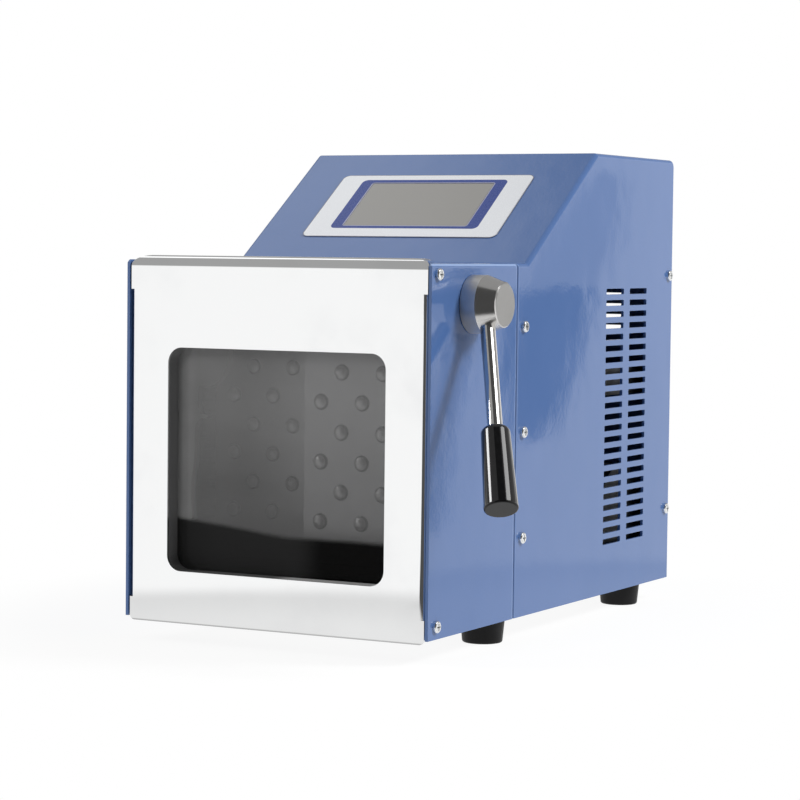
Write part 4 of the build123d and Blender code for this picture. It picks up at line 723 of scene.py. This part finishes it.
def printed_foil():
    """White printed foil with a fine grain, a varnished white field, a deep blue frame, a pale
    line around the glass and painted shade along its edge."""
    foil = Finish("printed_foil")
    spot = foil.place()
    across = foil.axes(spot)[0]
    up = (foil.along(spot, UP_SLOPE) - SCREEN_MIDDLE.dot(Vector(UP_SLOPE))) * 1000.0
    ring = rounded_box(across, up - FRAME_RISE, FRAME_HALF_W, FRAME_HALF_L, FRAME_CORNER)
    inked = ring.ease(-0.12, 0.12, 1.0, 0.0)
    grain = foil.noise(spot, 2200.0)
    cloud = foil.noise(spot, 25.0)
    label_up = up + (SCREEN_MIDDLE - LABEL_MIDDLE).dot(Vector(UP_SLOPE)) * 1000.0
    label = rounded_box(across, label_up, LABEL_HALF_W, LABEL_HALF_L, LABEL_CORNER)
    # painted shade: a dark line just inside the foil's edge
    edge_shade = label.ease(-0.75, -0.35)
    glass = rounded_box(across, up, GLASS_HALF_W, GLASS_HALF_L, GLASS_CORNER)
    edging = glass.ease(0.9, 1.3, 1.0, 0.0)
    white = foil.mix(cloud, FOIL_WHITE, FOIL_WHITER)
    blue = foil.mix(cloud, FRAME_BLUE, FRAME_BLUER)
    printed = foil.mix(edging, foil.mix(inked, white, blue), PALE_LINE)
    return foil.surface(
        foil.mix(edge_shade * 0.85, printed, LABEL_EDGE_SHADE),
        Roughness=grain.ease(0.2, 0.8, 0.22, 0.30),
        Coat_Weight=1.0 - inked,
        Coat_Roughness=0.06,
        Normal=foil.bump(grain, 0.00003, 0.4),
    )


def touch_glass():
    """Switched-off touch panel: grey liquid-crystal glass with a fine pixel weave."""
    glass = Finish("touch_glass")
    spot = glass.place()
    x, _, z = glass.axes(spot)
    weave = 0.5 * (x * WEAVE).wave() + 0.5 * (z * WEAVE).wave()
    haze = glass.noise(spot, 20.0, 2.0)
    return glass.surface(
        glass.mix(0.8 * haze + 0.1 * weave, GLASS_GREY, GLASS_PALE),
        Roughness=haze.ease(0.3, 0.7, 0.10, 0.16),
    )


dress(printed_foil(), "console_label")
dress(touch_glass(), "touch_screen")


# The screws: nickel-plated pan heads with a cross recess on the covers, and the plated screws
# of the hinges, the window's ring and the feet.
NICKEL = (0.92, 0.93, 0.93)
NICKEL_STAIN = (0.66, 0.67, 0.67)


def plated_screw():
    """Bright plating with tiny stains."""
    nickel = Finish("nickel_plate")
    spot = nickel.place()
    stain = nickel.noise(spot, 900.0, 3.0)
    return nickel.surface(
        nickel.mix(stain.ease(0.4, 0.8), NICKEL, NICKEL_STAIN),
        Metallic=1.0,
        Roughness=stain.ease(0.3, 0.8, 0.16, 0.32),
    )


dress(plated_screw(), "casing_screws", "front_screws", "hinge_screws", "retainer_screws",
      "foot_screws")


# The rear: mains inlet with its fuse drawer and rocker switch in black plastic, as the
# display's housing is, and a bare aluminium rating plate.
SWITCH_BLACK = (0.018, 0.018, 0.019)
MARK_WHITE = (0.72, 0.72, 0.72)
dress(dark_moulding("switch_black", SWITCH_BLACK, 0.38),
      "power_inlet", "fuse_drawer", "switch_housing", "display_module")
ROCKER_MIDDLE = sum(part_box("rocker"), Vector()) / 2 / MM
MARK_RISE = 4.6          # of the bar above the rocker's middle, and of the ring below it
BAR_HALF_W, BAR_HALF_H = 0.35, 1.7
RING_RADIUS, RING_HALF_LINE = 1.5, 0.3


def marked_rocker():
    """Black rocker with a printed white bar and ring for on and off."""
    black = Finish("rocker_black")
    spot = black.place()
    x, _, z = black.axes(spot)
    across, up = x - ROCKER_MIDDLE.x, z - ROCKER_MIDDLE.z
    bar = (across.size() - BAR_HALF_W).most((up - MARK_RISE).size() - BAR_HALF_H)
    low = up + MARK_RISE
    ring = ((across * across + low * low).root() - RING_RADIUS).size() - RING_HALF_LINE
    ink = bar.least(ring).ease(-0.05, 0.05, 1.0, 0.0)
    fine = black.noise(spot, 1500.0)
    return black.surface(
        black.mix(ink, SWITCH_BLACK, MARK_WHITE),
        Roughness=fine.ease(0.2, 0.8, 0.32, 0.44) + ink * 0.1,
        Normal=black.bump(fine, 0.00004, 0.5),
    )


dress(marked_rocker(), "rocker")
PLATE_LOW, PLATE_HIGH = (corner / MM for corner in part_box("rating_plate"))
PLATE_CORNER, BORDER_IN, BORDER_HALF_LINE = 2.0, 3.0, 0.22
BRUSHED_DARK, BRUSHED_PALE = (0.60, 0.60, 0.61), (0.76, 0.76, 0.77)
ENGRAVED = (0.16, 0.16, 0.17)


def engraved_plate():
    """Brushed aluminium with one fine engraved border and nothing inside it."""
    plate = Finish("plate_aluminium")
    spot = plate.place()
    x, _, z = plate.axes(spot)
    middle, half = (PLATE_LOW + PLATE_HIGH) / 2, (PLATE_HIGH - PLATE_LOW) / 2
    inside = rounded_box(x - middle.x, z - middle.z, half.x, half.z, PLATE_CORNER)
    line = ((inside + BORDER_IN).size() - BORDER_HALF_LINE).ease(-0.05, 0.08, 1.0, 0.0)
    scratch = plate.noise(plate.stretched(spot, (40.0, 60.0, 2400.0)), 1.0, 3.0)
    metal = plate.mix(scratch, BRUSHED_DARK, BRUSHED_PALE)
    return plate.surface(
        plate.mix(line, metal, ENGRAVED),
        Metallic=1.0,
        Roughness=scratch.ease(0.25, 0.75, 0.24, 0.36) + line * 0.2,
        Normal=plate.bump(scratch * 0.3 - line, 0.00006, 0.6),
    )


dress(engraved_plate(), "rating_plate")


# The rest inside: motor and power supply in machine paint darkened to a painted shade, bushes
# of bearing bronze and the green control board.
# nearly black: painted shade inside the casing
ENAMEL_SHADED, ENAMEL_SHADED_PALE = (0.035, 0.037, 0.042), (0.055, 0.058, 0.064)
BRONZE, BRONZE_PORE = (0.55, 0.40, 0.18), (0.28, 0.19, 0.09)
LACQUER_GREEN, TRACK_GREEN = (0.012, 0.085, 0.035), (0.03, 0.16, 0.06)


def machine_paint():
    """Enamel darkened nearly to black as painted shade inside the casing, with a light texture."""
    enamel = Finish("shaded_enamel")
    spot = enamel.place()
    cells = enamel.noise(spot, 260.0, 2.0)
    return enamel.surface(
        enamel.mix(cells, ENAMEL_SHADED, ENAMEL_SHADED_PALE),
        Roughness=cells.ease(0.2, 0.8, 0.35, 0.5),
        Normal=enamel.bump(cells, 0.00008, 0.6),
    )


def bronze():
    """Bearing bronze with dark pores."""
    metal = Finish("bearing_bronze")
    pores = metal.noise(metal.place(), 1600.0, 3.0)
    return metal.surface(
        metal.mix(pores.ease(0.5, 0.7), BRONZE, BRONZE_PORE),
        Metallic=1.0,
        Roughness=pores.ease(0.3, 0.7, 0.28, 0.42),
    )


def board_green():
    """Green lacquer with copper tracks under it."""
    board = Finish("board_green")
    _, y, z = board.axes(board.place())
    tracks = ((y * 1.6).wave() * (z * 1.1).wave()).ease(0.35, 0.45)
    return board.surface(
        board.mix(tracks, LACQUER_GREEN, TRACK_GREEN),
        Roughness=tracks.ease(0.0, 1.0, 0.32, 0.24),
    )


dress(machine_paint(), "motor", "power_supply")
dress(bronze(), "shaft_bushes", "guide_bushes")
dress(board_green(), "control_board")
